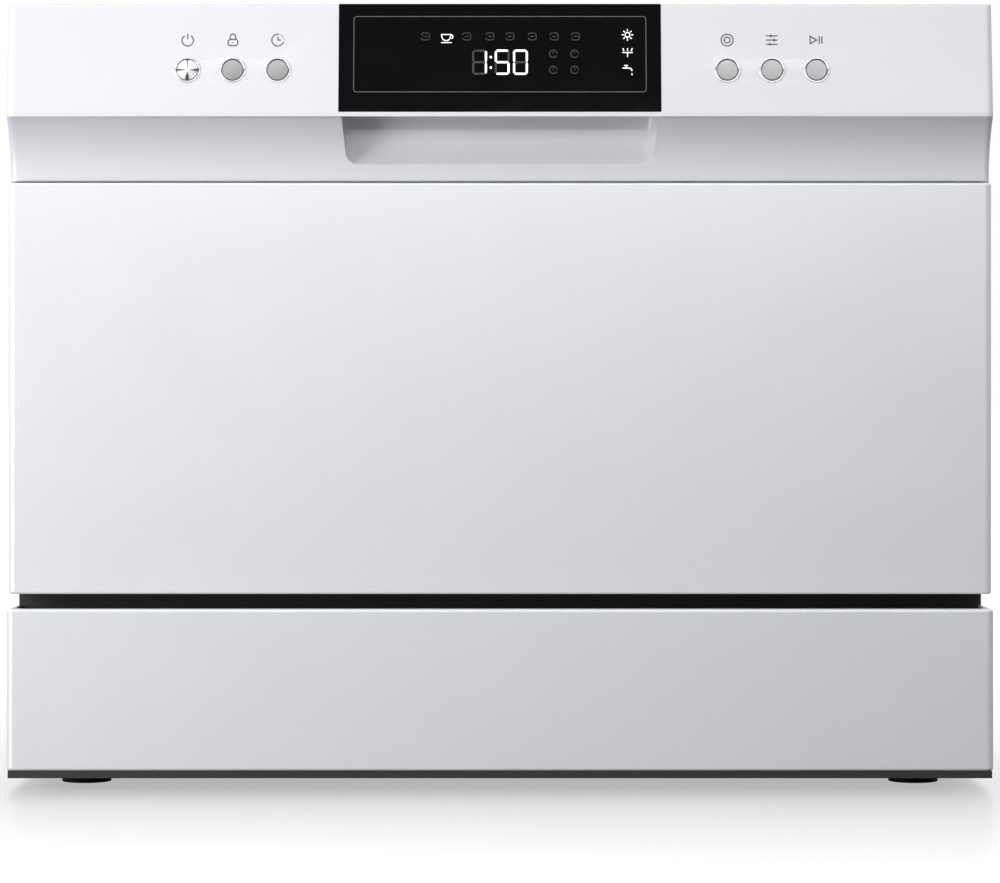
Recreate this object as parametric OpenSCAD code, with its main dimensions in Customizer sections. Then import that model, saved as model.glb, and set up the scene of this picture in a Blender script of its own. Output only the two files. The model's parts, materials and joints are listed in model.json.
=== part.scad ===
// Countertop dishwasher with a drop-down door, one sliding wire rack and a lower spray arm.
// The front faces -Y, Z is up, and the origin is on the table under the middle of the machine.

/* [Overall] */
// Width across the door and the skirt
body_w = 550; // [540:1:580]
// Depth from the lip over the handle to the ends of the rear fittings
body_d = 500; // [490:1:530]
// Height from the table to the top cover
body_h = 438; // [430:1:460]

/* [Cabinet] */
// Sheet of the outer cabinet
cab_t = 1; // [0.8:0.1:1.5]
// Set-in of the cabinet sides from the width of the door
side_inset = 1.5; // [1:0.5:3]
// Set-in of the rear cover from the ends of the rear fittings
fitting_reach = 14; // [12:1:18]
// Depth of the folded edges of the top cover
cover_fold = 9; // [6:1:12]
// Sheet of the front frame
frame_t = 1.5; // [1:0.5:2.5]

/* [Base] */
// Height of the rubber feet below the base
foot_h = 6; // [4:1:10]
// Radius of a rubber foot
foot_r = 14; // [10:1:18]
// Rim of the base that shows under the skirt
base_rim = 4; // [3:0.5:6]
// Wall of the base tray
base_t = 2.5; // [2:0.5:4]
// Height of the skirt
skirt_h = 90; // [80:1:95]
// Wall of the skirt
skirt_t = 2; // [1.5:0.5:3]
// Depth of the skirt's folded top edge
skirt_fold = 12; // [8:1:14]

/* [Door] */
// Set-back of the door panel from the lip
door_setback = 8.5; // [6:0.5:12]
// Thickness of the door, outer panel to liner
door_t = 32; // [30:1:38]
// Gap between the skirt and the door panel
door_gap = 8; // [7.5:0.5:10]
// Sheet of the door panel
door_sheet = 1; // [0.8:0.1:1.5]
// Radius of the door panel's upright edges
door_edge_r = 4; // [2:0.5:6]
// Distance of the hinge axis behind the door panel's face
hinge_in = 13; // [12:0.5:14]
// Radius of a hinge pin
pin_r = 4; // [3:0.5:5]
// Clearance of a pin or shaft in its bore
fit = 0.05; // [0.02:0.01:0.1]
// Depth of the liner's folded edges
liner_depth = 12; // [8:1:14]
// Depth of the liner's pressed middle
liner_press = 4; // [2:0.5:6]
// Gap between the liner and the front frame, filled by the seal
seal_gap = 9.5; // [8:0.5:12]
// Width of the door seal
seal_w = 8; // [6:0.5:9]

/* [Control panel] */
// Height of the control panel
panel_h = 99; // [92:1:110]
// Height of its upper, sloping face
face_h = 61.3; // [56:0.1:66]
// Lean of the upper face over its height
face_lean = 9; // [5:0.5:12]
// Height of the lip under the face
lip_h = 2.3; // [1.5:0.1:4]
// How far the hollow band runs in below the lip
band_in = 17.6; // [14:0.1:19]
// Wall of the moulding
panel_t = 2.5; // [2:0.1:3]
// Width of the display lens
lens_w = 180; // [150:1:200]
// Thickness of the display lens
lens_t = 1.6; // [1.5:0.1:2]
// Width of the finger pocket
pocket_w = 178; // [140:1:190]
// Radius of the finger pocket's scoop
scoop_r = 23; // [18:1:24]
// Wall of the finger pocket
pocket_t = 2; // [1.5:0.5:2.5]
// Radius of a button cap
cap_r = 5.8; // [5:0.1:6.5]
// Width of the ring round a cap
ring_w = 1.15; // [0.8:0.05:1.5]
// Height of the buttons above the lip, along the face
button_h = 24; // [18:0.5:30]
// Travel of a button
button_travel = 0.8; // [0.5:0.1:1]

/* [Tub] */
// Gap between the tub and the outer side of the cabinet
tub_side_gap = 27.5; // [25:0.5:29]
// Gap between the tub and the top cover
tub_top_gap = 17; // [14:1:24]
// Gap between the tub and the rear cover
tub_rear_gap = 34; // [28:1:40]
// Radius of the tub's upper corners
tub_r = 20; // [12:1:30]
// Sheet of the tub
tub_t = 1; // [0.8:0.1:1.5]
// Height of the tub floor above the hinge axis
sill_h = 5; // [4.5:0.5:8]
// Sound mat over the tub
mat_t = 4; // [3:0.5:6]

/* [Rack] */
// Gap between the rack's basket and the side of the tub
rack_side_gap = 34; // [32:1:40]
// Length of the rack's flat bottom
rack_len = 330; // [310:2:336]
// Height of the rack's bottom above the tub floor
rack_lift = 39; // [37:1:44]
// Height of the rack's front wall
rack_front_h = 82; // [70:1:90]
// Height of the rack's side and rear walls
rack_side_h = 112; // [104:1:116]
// Lean of the front and rear walls
rack_lean = 30; // [20:1:34]
// Radius of the rack's main wires
wire_r = 2; // [1.8:0.1:2.4]
// Radius of the tines
tine_r = 1.5; // [1.3:0.1:1.8]
// Height of the tines
tine_h = 58; // [45:1:62]
// Width of the cutlery basket
basket_w = 78; // [70:1:82]
// Length of the cutlery basket
basket_len = 220; // [210:2:230]
// Height of the cutlery basket
basket_h = 108; // [80:1:110]
// Wires along the rack
long_wires = 11; // [9:2:15]
// Wires across the rack
cross_wires = 8; // [7:1:11]

/* [Rails] */
// Height of a rail
rail_h = 24; // [22:1:28]
// Depth of a rail across its flanges
rail_w = 22; // [20:1:24]
// Wall of a rail
rail_t = 1.2; // [1:0.1:1.5]
// Length of a rail
rail_len = 330; // [320:2:350]
// Travel of the rails, and of the rack along them
rail_travel = 80; // [60:1:82]
// Height of the rails above the rack's bottom
rail_lift = 90; // [80:1:94]
// Radius of a roller's pin
axle_r = 3; // [2.5:0.5:4]

/* [Wash system] */
// Radius that the spray arm sweeps
arm_len = 185; // [160:1:190]
// Width of the spray arm at its hub
arm_w = 44; // [36:1:52]
// Thickness of the spray arm
arm_t = 12; // [10:1:13]
// Radius of the post that carries the arm
post_r = 9; // [8:0.5:10]
// Radius of the filter cylinder
filter_r = 38; // [34:1:39]
// Distance of the filter from the arm's post
filter_x = 85; // [82:1:95]
// Radius of the sump's well
sump_r = 42; // [40.5:0.5:44]
// Depth of the sump below the tub floor
sump_depth = 88; // [76:1:90]
// Radius of the dished floor round the filter
dish_r = 70; // [62:1:71]
// Depth of the dish
dish_depth = 9; // [6:0.5:11]

/* [Hidden] */
$fn = 48;
WIRE_FN = 6;
eps = 0.01;

half_w = body_w / 2;
y_front = -body_d / 2;
y_end = body_d / 2;
y_rear = y_end - fitting_reach;
y_door = y_front + door_setback;
y_liner = y_door + door_t;
y_door_back = y_liner - 2.5;
y_hinge = y_door + hinge_in;
y_frame = y_liner + seal_gap;
y_cabinet = y_door_back + 3;
y_tub = y_frame + frame_t;
y_back = y_rear - tub_rear_gap;
y_mid = (y_tub + y_back) / 2;

z_base = foot_h;
z_floor_pan = z_base + base_t;
z_skirt = z_base + base_rim;
z_skirt_top = z_skirt + skirt_h;
z_door = z_skirt_top + door_gap;
hinge_rise = (pow(hinge_in, 2) - pow(door_gap - 0.4, 2)) / (2 * (door_gap - 0.4)) + 0.6;
z_hinge = z_door + hinge_rise;
z_sill = z_hinge + 2;
z_floor = z_hinge + sill_h;
z_ceiling = body_h - tub_top_gap;
z_panel = body_h - panel_h;
z_lip = body_h - face_h;

x_cab = half_w - side_inset;
x_tub = x_cab - tub_side_gap;
rack_w = 2 * (x_tub - rack_side_gap);
x_liner = x_tub + 10;
x_arm = x_liner + 3;
x_bracket = x_arm + 0.5;
z_liner_top = z_ceiling + 10;

y_band = y_front + band_in;
band_top = z_lip - lip_h;
band_h = band_top - z_panel;
band_r = (pow(band_in, 2) + pow(band_h, 2)) / (2 * band_in);
y_face_top = y_front + face_lean;
face_tilt = atan(face_lean / face_h);
face_len = sqrt(pow(face_lean, 2) + pow(face_h, 2));
ring_r = cap_r + 0.2 + ring_w;
board_in = 10;
button_x = [-174.2, -149, -123.9, 126.8, 151.7, 176.5];

z_rack = z_floor + rack_lift;
z_rail = z_rack + rail_lift;
x_rail = x_tub - 2;
y_rail = y_mid - 176;
roller_r = rail_h / 2 - rail_t - 0.3;
roller_y = [y_rail + 24, y_rail + rail_len - rail_travel - 18];
wheel_y = [y_rail + rail_travel + 18, y_rail + rail_len - 18];
rack_front = y_mid - 151;

// A box between two corners
module block(lo, hi) translate(lo) cube(hi - lo);

// The children and their mirror image across the middle of the machine
module both_sides() {
    children();
    mirror([1, 0, 0]) children();
}

// A flat outline in Y and Z, drawn out along X about the middle
module along_x(w) rotate([90, 0, 90]) linear_extrude(w, center = true) children();

// A flat outline in X and Z, drawn out along Y from y0 to y1
module along_y(y0, y1) translate([0, y1, 0]) rotate([90, 0, 0]) linear_extrude(y1 - y0) children();

// A rod along X, Y or Z from a point
module rod_x(p, len, r) translate(p) rotate([0, 90, 0]) cylinder(h = len, r = r);
module rod_y(p, len, r) translate(p) rotate([-90, 0, 0]) cylinder(h = len, r = r);
module rod_z(p, len, r) translate(p) cylinder(h = len, r = r);

// A rectangle with round corners about the origin
module round_rect(w, h, r) {
    square([w - 2 * r, h], center = true);
    square([w, h - 2 * r], center = true);
    for (sx = [-1, 1], sy = [-1, 1]) translate([sx * (w / 2 - r), sy * (h / 2 - r)]) circle(r);
}

// The tub's inside outline in X and Z, grown by g, from height z0 up
module tub_outline(g, z0) {
    w = 2 * (x_tub + g);
    top = z_ceiling + g;
    r = tub_r + g;
    translate([-w / 2, z0]) square([w, top - r - z0]);
    translate([-w / 2 + r, z0]) square([w - 2 * r, top - z0]);
    for (s = [-1, 1]) translate([s * (w / 2 - r), top - r]) circle(r);
}

// A frame turned onto the sloping face: X along it, Y inward and Z up the face from the lip
module on_face() translate([0, y_front, z_lip]) rotate([-face_tilt, 0, 0]) children();

// A round bar from a to b
module wire(a, b, r) {
    d = b - a;
    len = norm(d);
    translate(a) rotate([0, acos(d[2] / len), atan2(d[1], d[0])])
        cylinder(h = len, r = r, $fn = WIRE_FN);
}

// A bar through a list of points, each stretch running a radius past its ends
module bent_wire(points, r) {
    for (i = [0 : len(points) - 2]) {
        u = (points[i + 1] - points[i]) / norm(points[i + 1] - points[i]);
        wire(points[i] - u * r * 0.6, points[i + 1] + u * r * 0.6, r);
    }
}

// A quarter bend of pipe: it starts at the origin along +Z and turns towards +X
module elbow(bend, r) translate([bend, 0, 0]) rotate([90, 0, 0]) rotate([0, 0, 90])
    rotate_extrude(angle = 90) translate([bend, 0]) circle(r);

foot_x = half_w - 40;
rib_pitch = (x_cab - 73.5) / 2;
foot_y = [y_front + 45, y_rear - 40];
stem_r = 4;
valve_x = 58.5 - x_cab;
valve_z = z_floor_pan + 50;
thread_r = 13.2;
drain_x = x_cab - 58.5;
drain_z = z_floor_pan + 83;
spigot_r = 9.5;
neck_step = 0.6;
neck_end = y_rear + 0.5;
gland_x = 143.5 - x_cab;
gland_z = z_floor_pan + 32;
cord_r = 4.2;
rear_in = y_rear - cab_t;
axis_z = z_floor_pan + 36;
motor_r = 27;
motor_len = 62;
pump_out = [filter_x + 74, y_mid + 44];
drain_bend = 18;
drain_y = y_mid - 80;
outlet_top = drain_z - drain_bend - 0.2;
heater_saddle = [54, pump_out[0] - 43];

module base_tray() color("dimgray") {
    side = x_cab - cab_t;
    difference() {
        union() {
            block([-half_w + 1, y_front + 0.5, z_base], [half_w - 1, rear_in, z_floor_pan]);
            difference() {
                block([-half_w + 1, y_front + 0.5, z_base], [half_w - 1, y_cabinet, z_skirt]);
                block([-half_w + 3.5, y_front + 3, z_base], [half_w - 3.5, y_cabinet + 1, z_skirt + 1]);
            }
            both_sides() {
                block([side - base_t, y_cabinet, z_base], [side, rear_in, z_skirt + 30]);
                block([side - base_t, y_cabinet, z_base], [half_w - 1, rear_in, z_skirt]);
            }
            block([-side, y_door_back + 1, z_base], [side, y_door_back + 1 + base_t, z_door - 0.5]);
            block([-side, y_door_back + 1, z_door - 0.5 - base_t], [side, y_tub, z_door - 0.5]);
            block([-side, rear_in - base_t, z_base], [side, rear_in, z_door - 0.5]);
            for (i = [-2 : 2])
                block([i * rib_pitch - 1.25, y_door_back + 1, z_base],
                      [i * rib_pitch + 1.25, y_tub, z_door - 0.5]);
            both_sides() for (y = foot_y) rod_z([foot_x, y, z_base], 16, stem_r + 5);
            for (x = [filter_x + 96, filter_x + 130])
                block([x - 4, y_mid - 20, z_base], [x + 4, y_mid + 20, axis_z - 20]);
            block([filter_x - 15, y_mid - 128, z_base], [filter_x + 15, y_mid - 122, axis_z - 14]);
            for (x = heater_saddle) block([x - 3, y_mid + 48, z_base], [x + 3, y_mid + 76, axis_z - 10]);
        }
        both_sides() for (y = foot_y) rod_z([foot_x, y, z_base - 1], 18, stem_r + fit);
        rod_y([valve_x, rear_in - base_t - 1, valve_z], base_t + 2, thread_r + 0.3);
        rod_y([drain_x, rear_in - base_t - 1, drain_z], base_t + 2, spigot_r + 0.3);
        rod_y([gland_x, rear_in - base_t - 1, gland_z], base_t + 2, cord_r + 2.3);
        rod_x([filter_x + 80, y_mid, axis_z], 80, motor_r + 2.1);
        rod_y([filter_x, y_mid - 140, axis_z], 40, 19.1);
        rod_x([30, y_mid + 62, axis_z], 120, 16.1);
    }
}

module feet() color("black") both_sides() for (y = foot_y) {
    translate([foot_x, y, 0]) rotate_extrude() polygon([[0, 0], [foot_r - 1, 0], [foot_r, 1],
        [foot_r - 1, foot_h], [stem_r, foot_h], [stem_r, foot_h + 13], [0, foot_h + 13]]);
}

module front_skirt() color("lightgray") {
    translate([0, 0, z_skirt]) linear_extrude(skirt_h) difference() {
        skirt_plan(0);
        skirt_plan(skirt_t);
    }
    translate([0, 0, z_skirt_top - skirt_t]) linear_extrude(skirt_t) intersection() {
        skirt_plan(0.5);
        translate([-half_w, y_front]) square([body_w, skirt_fold]);
    }
    for (x = [-150, 0, 150])
        block([x - 8, y_front + 1, z_skirt + 30], [x + 8, y_door_back + 1, z_skirt + 34]);
}

// The skirt's outline from above, drawn in by t
module skirt_plan(t) translate([0, y_front]) difference() {
    r = door_edge_r - t > 0.5 ? door_edge_r - t : 0.5;
    w = body_w - 2 * t;
    union() {
        translate([-w / 2, t + r]) square([w, y_cabinet - y_front - t - r + (t > 1 ? 1 : 0)]);
        translate([-w / 2 + r, t]) square([w - 2 * r, r + 1]);
        for (s = [-1, 1]) translate([s * (w / 2 - r), t + r]) circle(r);
    }
}

module side_panels() color("white") both_sides()
    block([x_cab - cab_t, y_cabinet, z_skirt], [x_cab, y_rear, body_h - cab_t]);

module top_cover() color("white") {
    z = body_h - cab_t;
    block([-x_cab, y_cabinet, z], [x_cab, y_rear, body_h]);
    both_sides() block([x_cab - 2 * cab_t, y_cabinet + cab_t, z - cover_fold],
                       [x_cab - cab_t, rear_in, z + eps]);
    block([-x_cab + cab_t, y_cabinet, z - 5], [x_cab - cab_t, y_cabinet + cab_t, z + eps]);
}

screw_x = x_cab - 14;
module rear_cover() color("lightgray") difference() {
    union() {
        block([-x_cab + cab_t, rear_in, z_skirt], [x_cab - cab_t, y_rear, body_h - cab_t]);
        for (z = [200, 250, 300]) block([-150, rear_in - 4, z], [150, rear_in, z + 12]);
    }
    for (z = [200, 250, 300]) block([-149, rear_in - 3, z + 1], [149, y_rear + 1, z + 11]);
    rod_y([valve_x, rear_in - 1, valve_z], cab_t + 2, thread_r + 0.3);
    rod_y([drain_x, rear_in - 1, drain_z], cab_t + 2, spigot_r + 0.3);
    rod_y([gland_x, rear_in - 1, gland_z], cab_t + 2, cord_r + 2.3);
    both_sides() for (z = screw_z) rod_y([screw_x, rear_in - 1, z], cab_t + 2, 2.1);
}

screw_z = [z_skirt + 15, z_skirt + 75];
module rear_screws() color("silver") both_sides() for (z = screw_z) translate([screw_x, y_rear, z]) {
    rotate([-90, 0, 0]) difference() {
        cylinder(h = 2, r1 = 3.6, r2 = 3);
        translate([0, 0, 1]) linear_extrude(2) {
            square([4, 0.8], center = true);
            square([0.8, 4], center = true);
        }
    }
    rotate([90, 0, 0]) cylinder(h = cab_t, r = 2);
}

slot_z = [z_hinge + 10, z_hinge + 40];
module front_frame() color("silver") difference() {
    along_y(y_frame, y_tub) difference() {
        translate([-x_cab + cab_t, z_door - 0.5]) square([2 * (x_cab - cab_t), body_h - cab_t - z_door + 0.5]);
        tub_outline(0, z_sill);
    }
    both_sides() block([x_bracket, y_frame - 1, slot_z[0]], [x_bracket + 8, y_tub + 1, slot_z[1]]);
    block([-x_cab, y_frame - 1, body_h - cab_t - cover_fold - 1], [-x_cab + 2.2 * cab_t, y_tub + 1, body_h]);
    block([x_cab - 2.2 * cab_t, y_frame - 1, body_h - cab_t - cover_fold - 1], [x_cab, y_tub + 1, body_h]);
}

module tub_wrapper() color("gainsboro") along_y(y_tub, y_back) difference() {
    tub_outline(tub_t, z_floor - tub_t);
    tub_outline(0, z_floor - tub_t - 1);
}

module tub_back() color("gainsboro") along_y(y_back, y_back + tub_t) tub_outline(tub_t, z_floor - tub_t);

module tub_floor() color("gainsboro") {
    z = z_floor - tub_t;
    difference() {
        union() {
            block([-x_tub, y_tub, z], [x_tub, y_back, z_floor]);
            block([-x_tub, y_tub, z_sill], [x_tub, y_tub + tub_t, z_floor]);
        }
        rod_z([filter_x, y_mid, z - 1], tub_t + 2, dish_r);
        rod_z([0, y_mid, z - 1], tub_t + 2, post_r + 2.1);
    }
    translate([filter_x, y_mid, 0]) rotate_extrude() polygon([
        [dish_r + 1, z_floor], [dish_r - 1, z_floor], [sump_r + 8, z_floor - dish_depth],
        [sump_r, z_floor - dish_depth], [sump_r, z - dish_depth], [sump_r + 8.4, z - dish_depth],
        [dish_r - 0.6, z], [dish_r + 1, z]]);
}

module sound_mat() color("dimgray") along_y(y_tub, y_back) difference() {
    tub_outline(tub_t + mat_t, z_floor + 20);
    tub_outline(tub_t, z_floor + 10);
}

// The seal's section: a foot on the frame and a round lip towards the liner
module seal_section() {
    foot = 3;
    lip = seal_w / 2 - 0.3;
    square([seal_w, foot]);
    translate([seal_w / 2 - foot / 2, foot - eps]) square([foot, seal_gap - foot - lip]);
    translate([seal_w / 2, seal_gap - 0.3 - lip]) circle(lip);
}

module door_seals() color("gray") {
    r = tub_r + 1;
    low = z_sill + 2;
    path_x = x_tub + 1;
    top = z_ceiling + 1;
    both_sides() {
        translate([path_x, y_frame, low]) linear_extrude(top - r - low) mirror([0, 1]) seal_section();
        translate([path_x - r, y_frame, top - r]) rotate([90, 0, 0]) rotate_extrude(angle = 90)
            translate([r, 0]) seal_section();
    }
    translate([-path_x + r, y_frame, top]) rotate([0, 90, 0]) linear_extrude(2 * (path_x - r))
        rotate([0, 0, 180]) seal_section();
    along_x(2 * x_tub - 2) polygon([[y_frame, z_sill - 4], [y_frame, z_sill + 1.5], [y_liner + 3, z_sill + 1.5],
        [y_liner + 0.4, z_sill + 2.5], [y_liner + 0.4, z_sill + 1], [y_liner + 3, z_sill - 1], [y_frame - 3, z_sill - 4]]);
}
// The door's catch lies under the ceiling of the tub
z_lock = z_ceiling - 3;
module door_strike() color("silver") {
    block([-12, y_tub + 1, z_ceiling - 2], [12, y_tub + 25, z_ceiling]);
    difference() {
        block([-6, y_liner - 12, z_lock - 1.5], [6, y_tub + 20, z_lock + 1.5]);
        block([-3.5, y_liner - 8, z_lock - 2], [3.5, y_liner - 1, z_lock + 2]);
    }
}

module hinge_brackets() color("silver") both_sides() {
    t = 3;
    nose = pin_r + 3;
    translate([x_bracket, 0, 0]) rotate([90, 0, 90]) linear_extrude(t) {
        translate([y_hinge, z_hinge]) circle(nose);
        translate([y_hinge, z_hinge - 3]) square([y_frame - y_hinge, nose + 2]);
    }
    spring_anchor();
    block([x_bracket, y_frame - 2, z_hinge - 7], [x_cab - cab_t, y_frame, slot_z[0] - 0.5]);
    rod_x([x_liner + 0.4, y_hinge, z_hinge], x_bracket - x_liner + t, pin_r);
}

spring_x = x_cab - cab_t - 8.5;
spring_z = z_hinge + 28;
spring_y = [y_tub + 60, y_tub + 150];
// The post that holds the rear end of a spring, fixed to the side of the base
module spring_anchor() {
    y = spring_y[1] + 14;
    block([spring_x - 4, y, z_skirt + 20], [x_cab - cab_t - base_t, y + 3, z_skirt + 30]);
    block([spring_x - 4, y, z_skirt + 20], [spring_x + 4, y + 3, spring_z + 6]);
}

module hinge_arms() color("silver") both_sides() {
    top = z_panel - 8;
    front = y_door + door_sheet;
    difference() {
        union() {
            rod_x([x_liner, y_hinge, z_hinge], 3, pin_r + 4);
            block([x_liner, front, z_hinge], [x_arm, y_liner - 5, top]);
            block([x_liner, front, z_hinge + 12], [x_arm + 9, front + 2, top]);
        }
        rod_x([x_liner - 1, y_hinge, z_hinge], 5, pin_r + fit);
        for (z = [z_hinge + 70 : 45 : top - 30])
            translate([x_liner - 1, y_hinge + 2, z]) rotate([0, 90, 0]) cylinder(h = 5, r = 6);
    }
    rod_x([x_liner + 1.5, y_hinge + 8, spring_z], spring_x - x_liner + 2, 3);
}

// A spring with its hooked rod to the arm and its rear loop on the anchor
module balance_springs() color("darkgray") both_sides() {
    r = 1.5;
    hook_y = y_hinge + 8;
    end_y = spring_y[1] + 14;
    translate([spring_x, hook_y, spring_z]) rotate([90, 0, 90]) difference() {
        cylinder(h = 2 * r, r = 3 + fit + 2 * r, center = true);
        cylinder(h = 3 * r, r = 3 + fit, center = true);
    }
    rod_y([spring_x, hook_y + 3 + r, spring_z], spring_y[0] - hook_y - 3, r);
    difference() {
        rod_y([spring_x, spring_y[0], spring_z], spring_y[1] - spring_y[0], 7);
        rod_y([spring_x, spring_y[0] + 2, spring_z], spring_y[1] - spring_y[0] - 4, 5.4);
    }
    rod_y([spring_x, spring_y[1], spring_z], end_y - spring_y[1], r);
}

// Rail: a web with flanges to both sides, so tub rollers run outside and rack wheels inside
module rails() color("silver") both_sides() translate([x_rail - rail_w / 2, 0, z_rail]) {
    along_y(y_rail, y_rail + rail_len) {
        square([rail_t, rail_h], center = true);
        for (s = [-1, 1]) translate([0, s * (rail_h - rail_t) / 2]) square([rail_w, rail_t], center = true);
    }
    for (y = [y_rail, y_rail + rail_len - 2])
        block([-rail_w / 2 + 1, y, -rail_h / 2 + rail_t - eps], [rail_w / 2 - 1, y + 2, -rail_h / 2 + rail_t + 2]);
}

module roller(r, w) difference() {
    rotate_extrude() polygon([[axle_r + fit, 0], [r - 1, 0], [r, 1], [r, w - 1], [r - 1, w], [axle_r + fit, w]]);
    for (a = [0 : 60 : 300]) rotate(a) translate([(r + axle_r) / 2, 0, -1]) cylinder(h = w + 2, r = 1.3, $fn = 8);
}

roller_w = rail_w / 2 - 3.2;
x_roller = x_rail - roller_w - 0.6;
x_wheel = x_rail - rail_w + 0.6;
module roller_pair(y) color("white") both_sides()
    translate([x_roller, y, z_rail]) rotate([0, 90, 0]) roller(roller_r, roller_w);
module wheel_pair(y) color("white") both_sides()
    translate([x_wheel, y, z_rail]) rotate([0, 90, 0]) roller(roller_r, roller_w);
module front_tub_rollers() roller_pair(roller_y[0]);
module rear_tub_rollers() roller_pair(roller_y[1]);
module front_rack_wheels() wheel_pair(wheel_y[0]);
module rear_rack_wheels() wheel_pair(wheel_y[1]);

module roller_pins() color("silver") both_sides() for (y = roller_y) {
    rod_x([x_roller - 0.8, y, z_rail], x_tub - x_roller + 0.8, axle_r);
    rod_x([x_tub - 1.2, y, z_rail], 1.2, axle_r + 4);
}

module sump() color("dimgray") {
    top = z_floor - tub_t - dish_depth;
    wall = 3;
    low = top - sump_depth + dish_depth;
    difference() {
        union() {
            rod_z([filter_x, y_mid, low], top - low, sump_r + wall);
            rod_z([filter_x, y_mid, top - 4], 4, sump_r + 14);
            rod_x([filter_x, y_mid, axis_z], 62, 13);
            rod_y([filter_x, y_mid - 64, axis_z], 64, 11);
            rod_x([filter_x - 62, y_mid + 29, top - 26], 62, 8);
        }
        rod_z([filter_x, y_mid, low + wall], top - low, sump_r);
        rod_x([filter_x, y_mid, axis_z], 63, 10.5);
        rod_y([filter_x, y_mid - 65, axis_z], 65, 8.5);
        rod_x([filter_x - 63, y_mid + 29, top - 26], 63, 6);
    }
}

module filter_plate() color("silver") difference() {
    z = z_floor;
    translate([filter_x, y_mid, 0]) rotate_extrude() polygon([
        [dish_r + 1.5, z], [dish_r + 1.5, z + 0.8], [dish_r - 2, z + 0.8], [filter_r + 5, z - 4],
        [filter_r + 1, z - 4], [filter_r + 1, z - 4.8], [filter_r + 5.2, z - 4.8], [dish_r - 1.6, z]]);
    for (ring = [0 : 1], a = [0 : 15 : 345]) translate([filter_x, y_mid, z - 6]) rotate(a + ring * 7.5)
        translate([filter_r + 11 + ring * 10, 0, 0]) cylinder(h = 8, r = 1.8, $fn = 6);
}

module filter_cylinder() color("gray") translate([filter_x, y_mid, 0]) {
    top = z_floor - 4;
    low = z_floor - sump_depth + 14;
    difference() {
        union() {
            rod_z([0, 0, top], 2.4, filter_r + 4);
            rod_z([0, 0, low], top - low + 1, filter_r);
        }
        rod_z([0, 0, low + 2], top - low + 2, filter_r - 2);
        for (a = [0 : 45 : 315]) rotate(a)
            block([filter_r - 4, -9, low + 12], [filter_r + 1, 9, top - 14]);
    }
    difference() {
        block([-filter_r + 1, -4, top - 6], [filter_r - 1, 4, top + 2.4]);
        for (s = [-1, 1]) block([s * 22 - 10, -5, top - 7], [s * 22 + 10, 5, top - 1]);
    }
    block([-11, -2, top + 2.4 - eps], [11, 2, top + 7]);
}

z_arm = z_floor + 7;
module spray_post() color("lightgray") translate([0, y_mid, 0]) {
    difference() {
        union() {
            rod_z([0, 0, z_floor - 30], 53, post_r);
            rod_z([0, 0, z_floor], 2, post_r + 4.2);
            rod_z([0, 0, z_floor - tub_t - 6], 6, post_r + 6);
            rod_z([0, 0, z_floor - tub_t - 1], 3, post_r + 2);
        }
        rod_z([0, 0, z_floor - 31], 46, post_r - 3);
    }
    translate([0, 0, z_floor + 22.3]) difference() {
        rotate_extrude() polygon([[post_r + 0.02, 0], [post_r + 6, 0], [post_r + 6, 3],
                                  [post_r + 2, 6.5], [0, 6.5], [0, 0.72], [post_r + 0.02, 0.72]]);
        for (a = [0 : 45 : 315]) rotate(a) rod_z([post_r + 6.6, 0, -1], 9, 1.6);
    }
}

// One half of the arm from above, drawn in by s
module arm_outline(s) hull() {
    circle(arm_w / 2 - s);
    translate([arm_len * 0.55, 4]) circle(arm_w * 0.36 - s);
    translate([arm_len - 14, 2]) circle(14 - s);
}

nozzle_r = [40, 72, 104, 134, 160];
module spray_arm() color("gray") translate([0, y_mid, 0]) difference() {
    union() {
        translate([0, 0, z_arm]) linear_extrude(arm_t) for (a = [0, 180]) rotate(a) arm_outline(0);
        translate([0, 0, z_arm + arm_t - eps]) linear_extrude(1.5) for (a = [0, 180]) rotate(a) arm_outline(4);
        rod_z([0, 0, z_floor + 2.4], 19.6, post_r + 5);
        for (a = [0, 180], r = nozzle_r) rotate(a)
            translate([r, 3, z_arm + arm_t + 1]) cylinder(h = 2, r1 = 5, r2 = 3.5);
    }
    rod_z([0, 0, z_floor], 40, post_r + fit);
    for (a = [0, 180], r = nozzle_r) rotate(a) translate([r, 3, z_arm + arm_t - 3])
        linear_extrude(10) square([1.6, 4], center = true);
}

module circulation_pump() color("gray") {
    x = filter_x + 62;
    rod_x([x + 0.2, y_mid, axis_z], 24, 30);
    rod_x([x + 24, y_mid, axis_z], motor_len, motor_r);
    rod_x([x + 24 + motor_len, y_mid, axis_z], 5, 20);
    difference() {
        rod_y([x + 12, y_mid, axis_z], 44, 11);
        rod_y([x + 12, y_mid + 31, axis_z], 14, 8.5);
    }
    for (a = [0 : 30 : 330]) translate([x + 30, y_mid, axis_z]) rotate([a, 0, 0])
        block([0, motor_r - 5, -1], [motor_len - 12, motor_r + 2, 1]);
}

module flow_heater() color("silver") {
    y = y_mid + 62;
    rod_x([30, y, axis_z], pump_out[0] - 48, 16);
    rod_x([14, y, axis_z], 16, 9);
    for (x = [38, pump_out[0] - 30]) rod_x([x, y, axis_z], 4, 18);
    for (x = [50, 70]) rod_z([x, y, axis_z + 15], 10, 2.5);
}

// Pipes from the pump into the heater and from the heater up to the spray arm's post
module pressure_pipes() color("black") {
    r = 11;
    translate([pump_out[0], pump_out[1], axis_z]) rotate([-90, 0, 0]) rotate([0, 0, 180]) elbow(18, r);
    y = y_mid + 62;
    translate([0, y - 14, axis_z]) rotate([-90, 0, 0]) elbow(14, r);
    rod_y([0, y_mid + 14, axis_z], 34, r);
    translate([0, y_mid, axis_z + 14]) rotate([180, 0, 90]) elbow(14, r);
    difference() {
        rod_z([0, y_mid, axis_z + 14], z_floor - tub_t - 10 - axis_z - 14, r + 1.5);
        rod_z([0, y_mid, z_floor - 30], 40, post_r + fit);
    }
}

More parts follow.
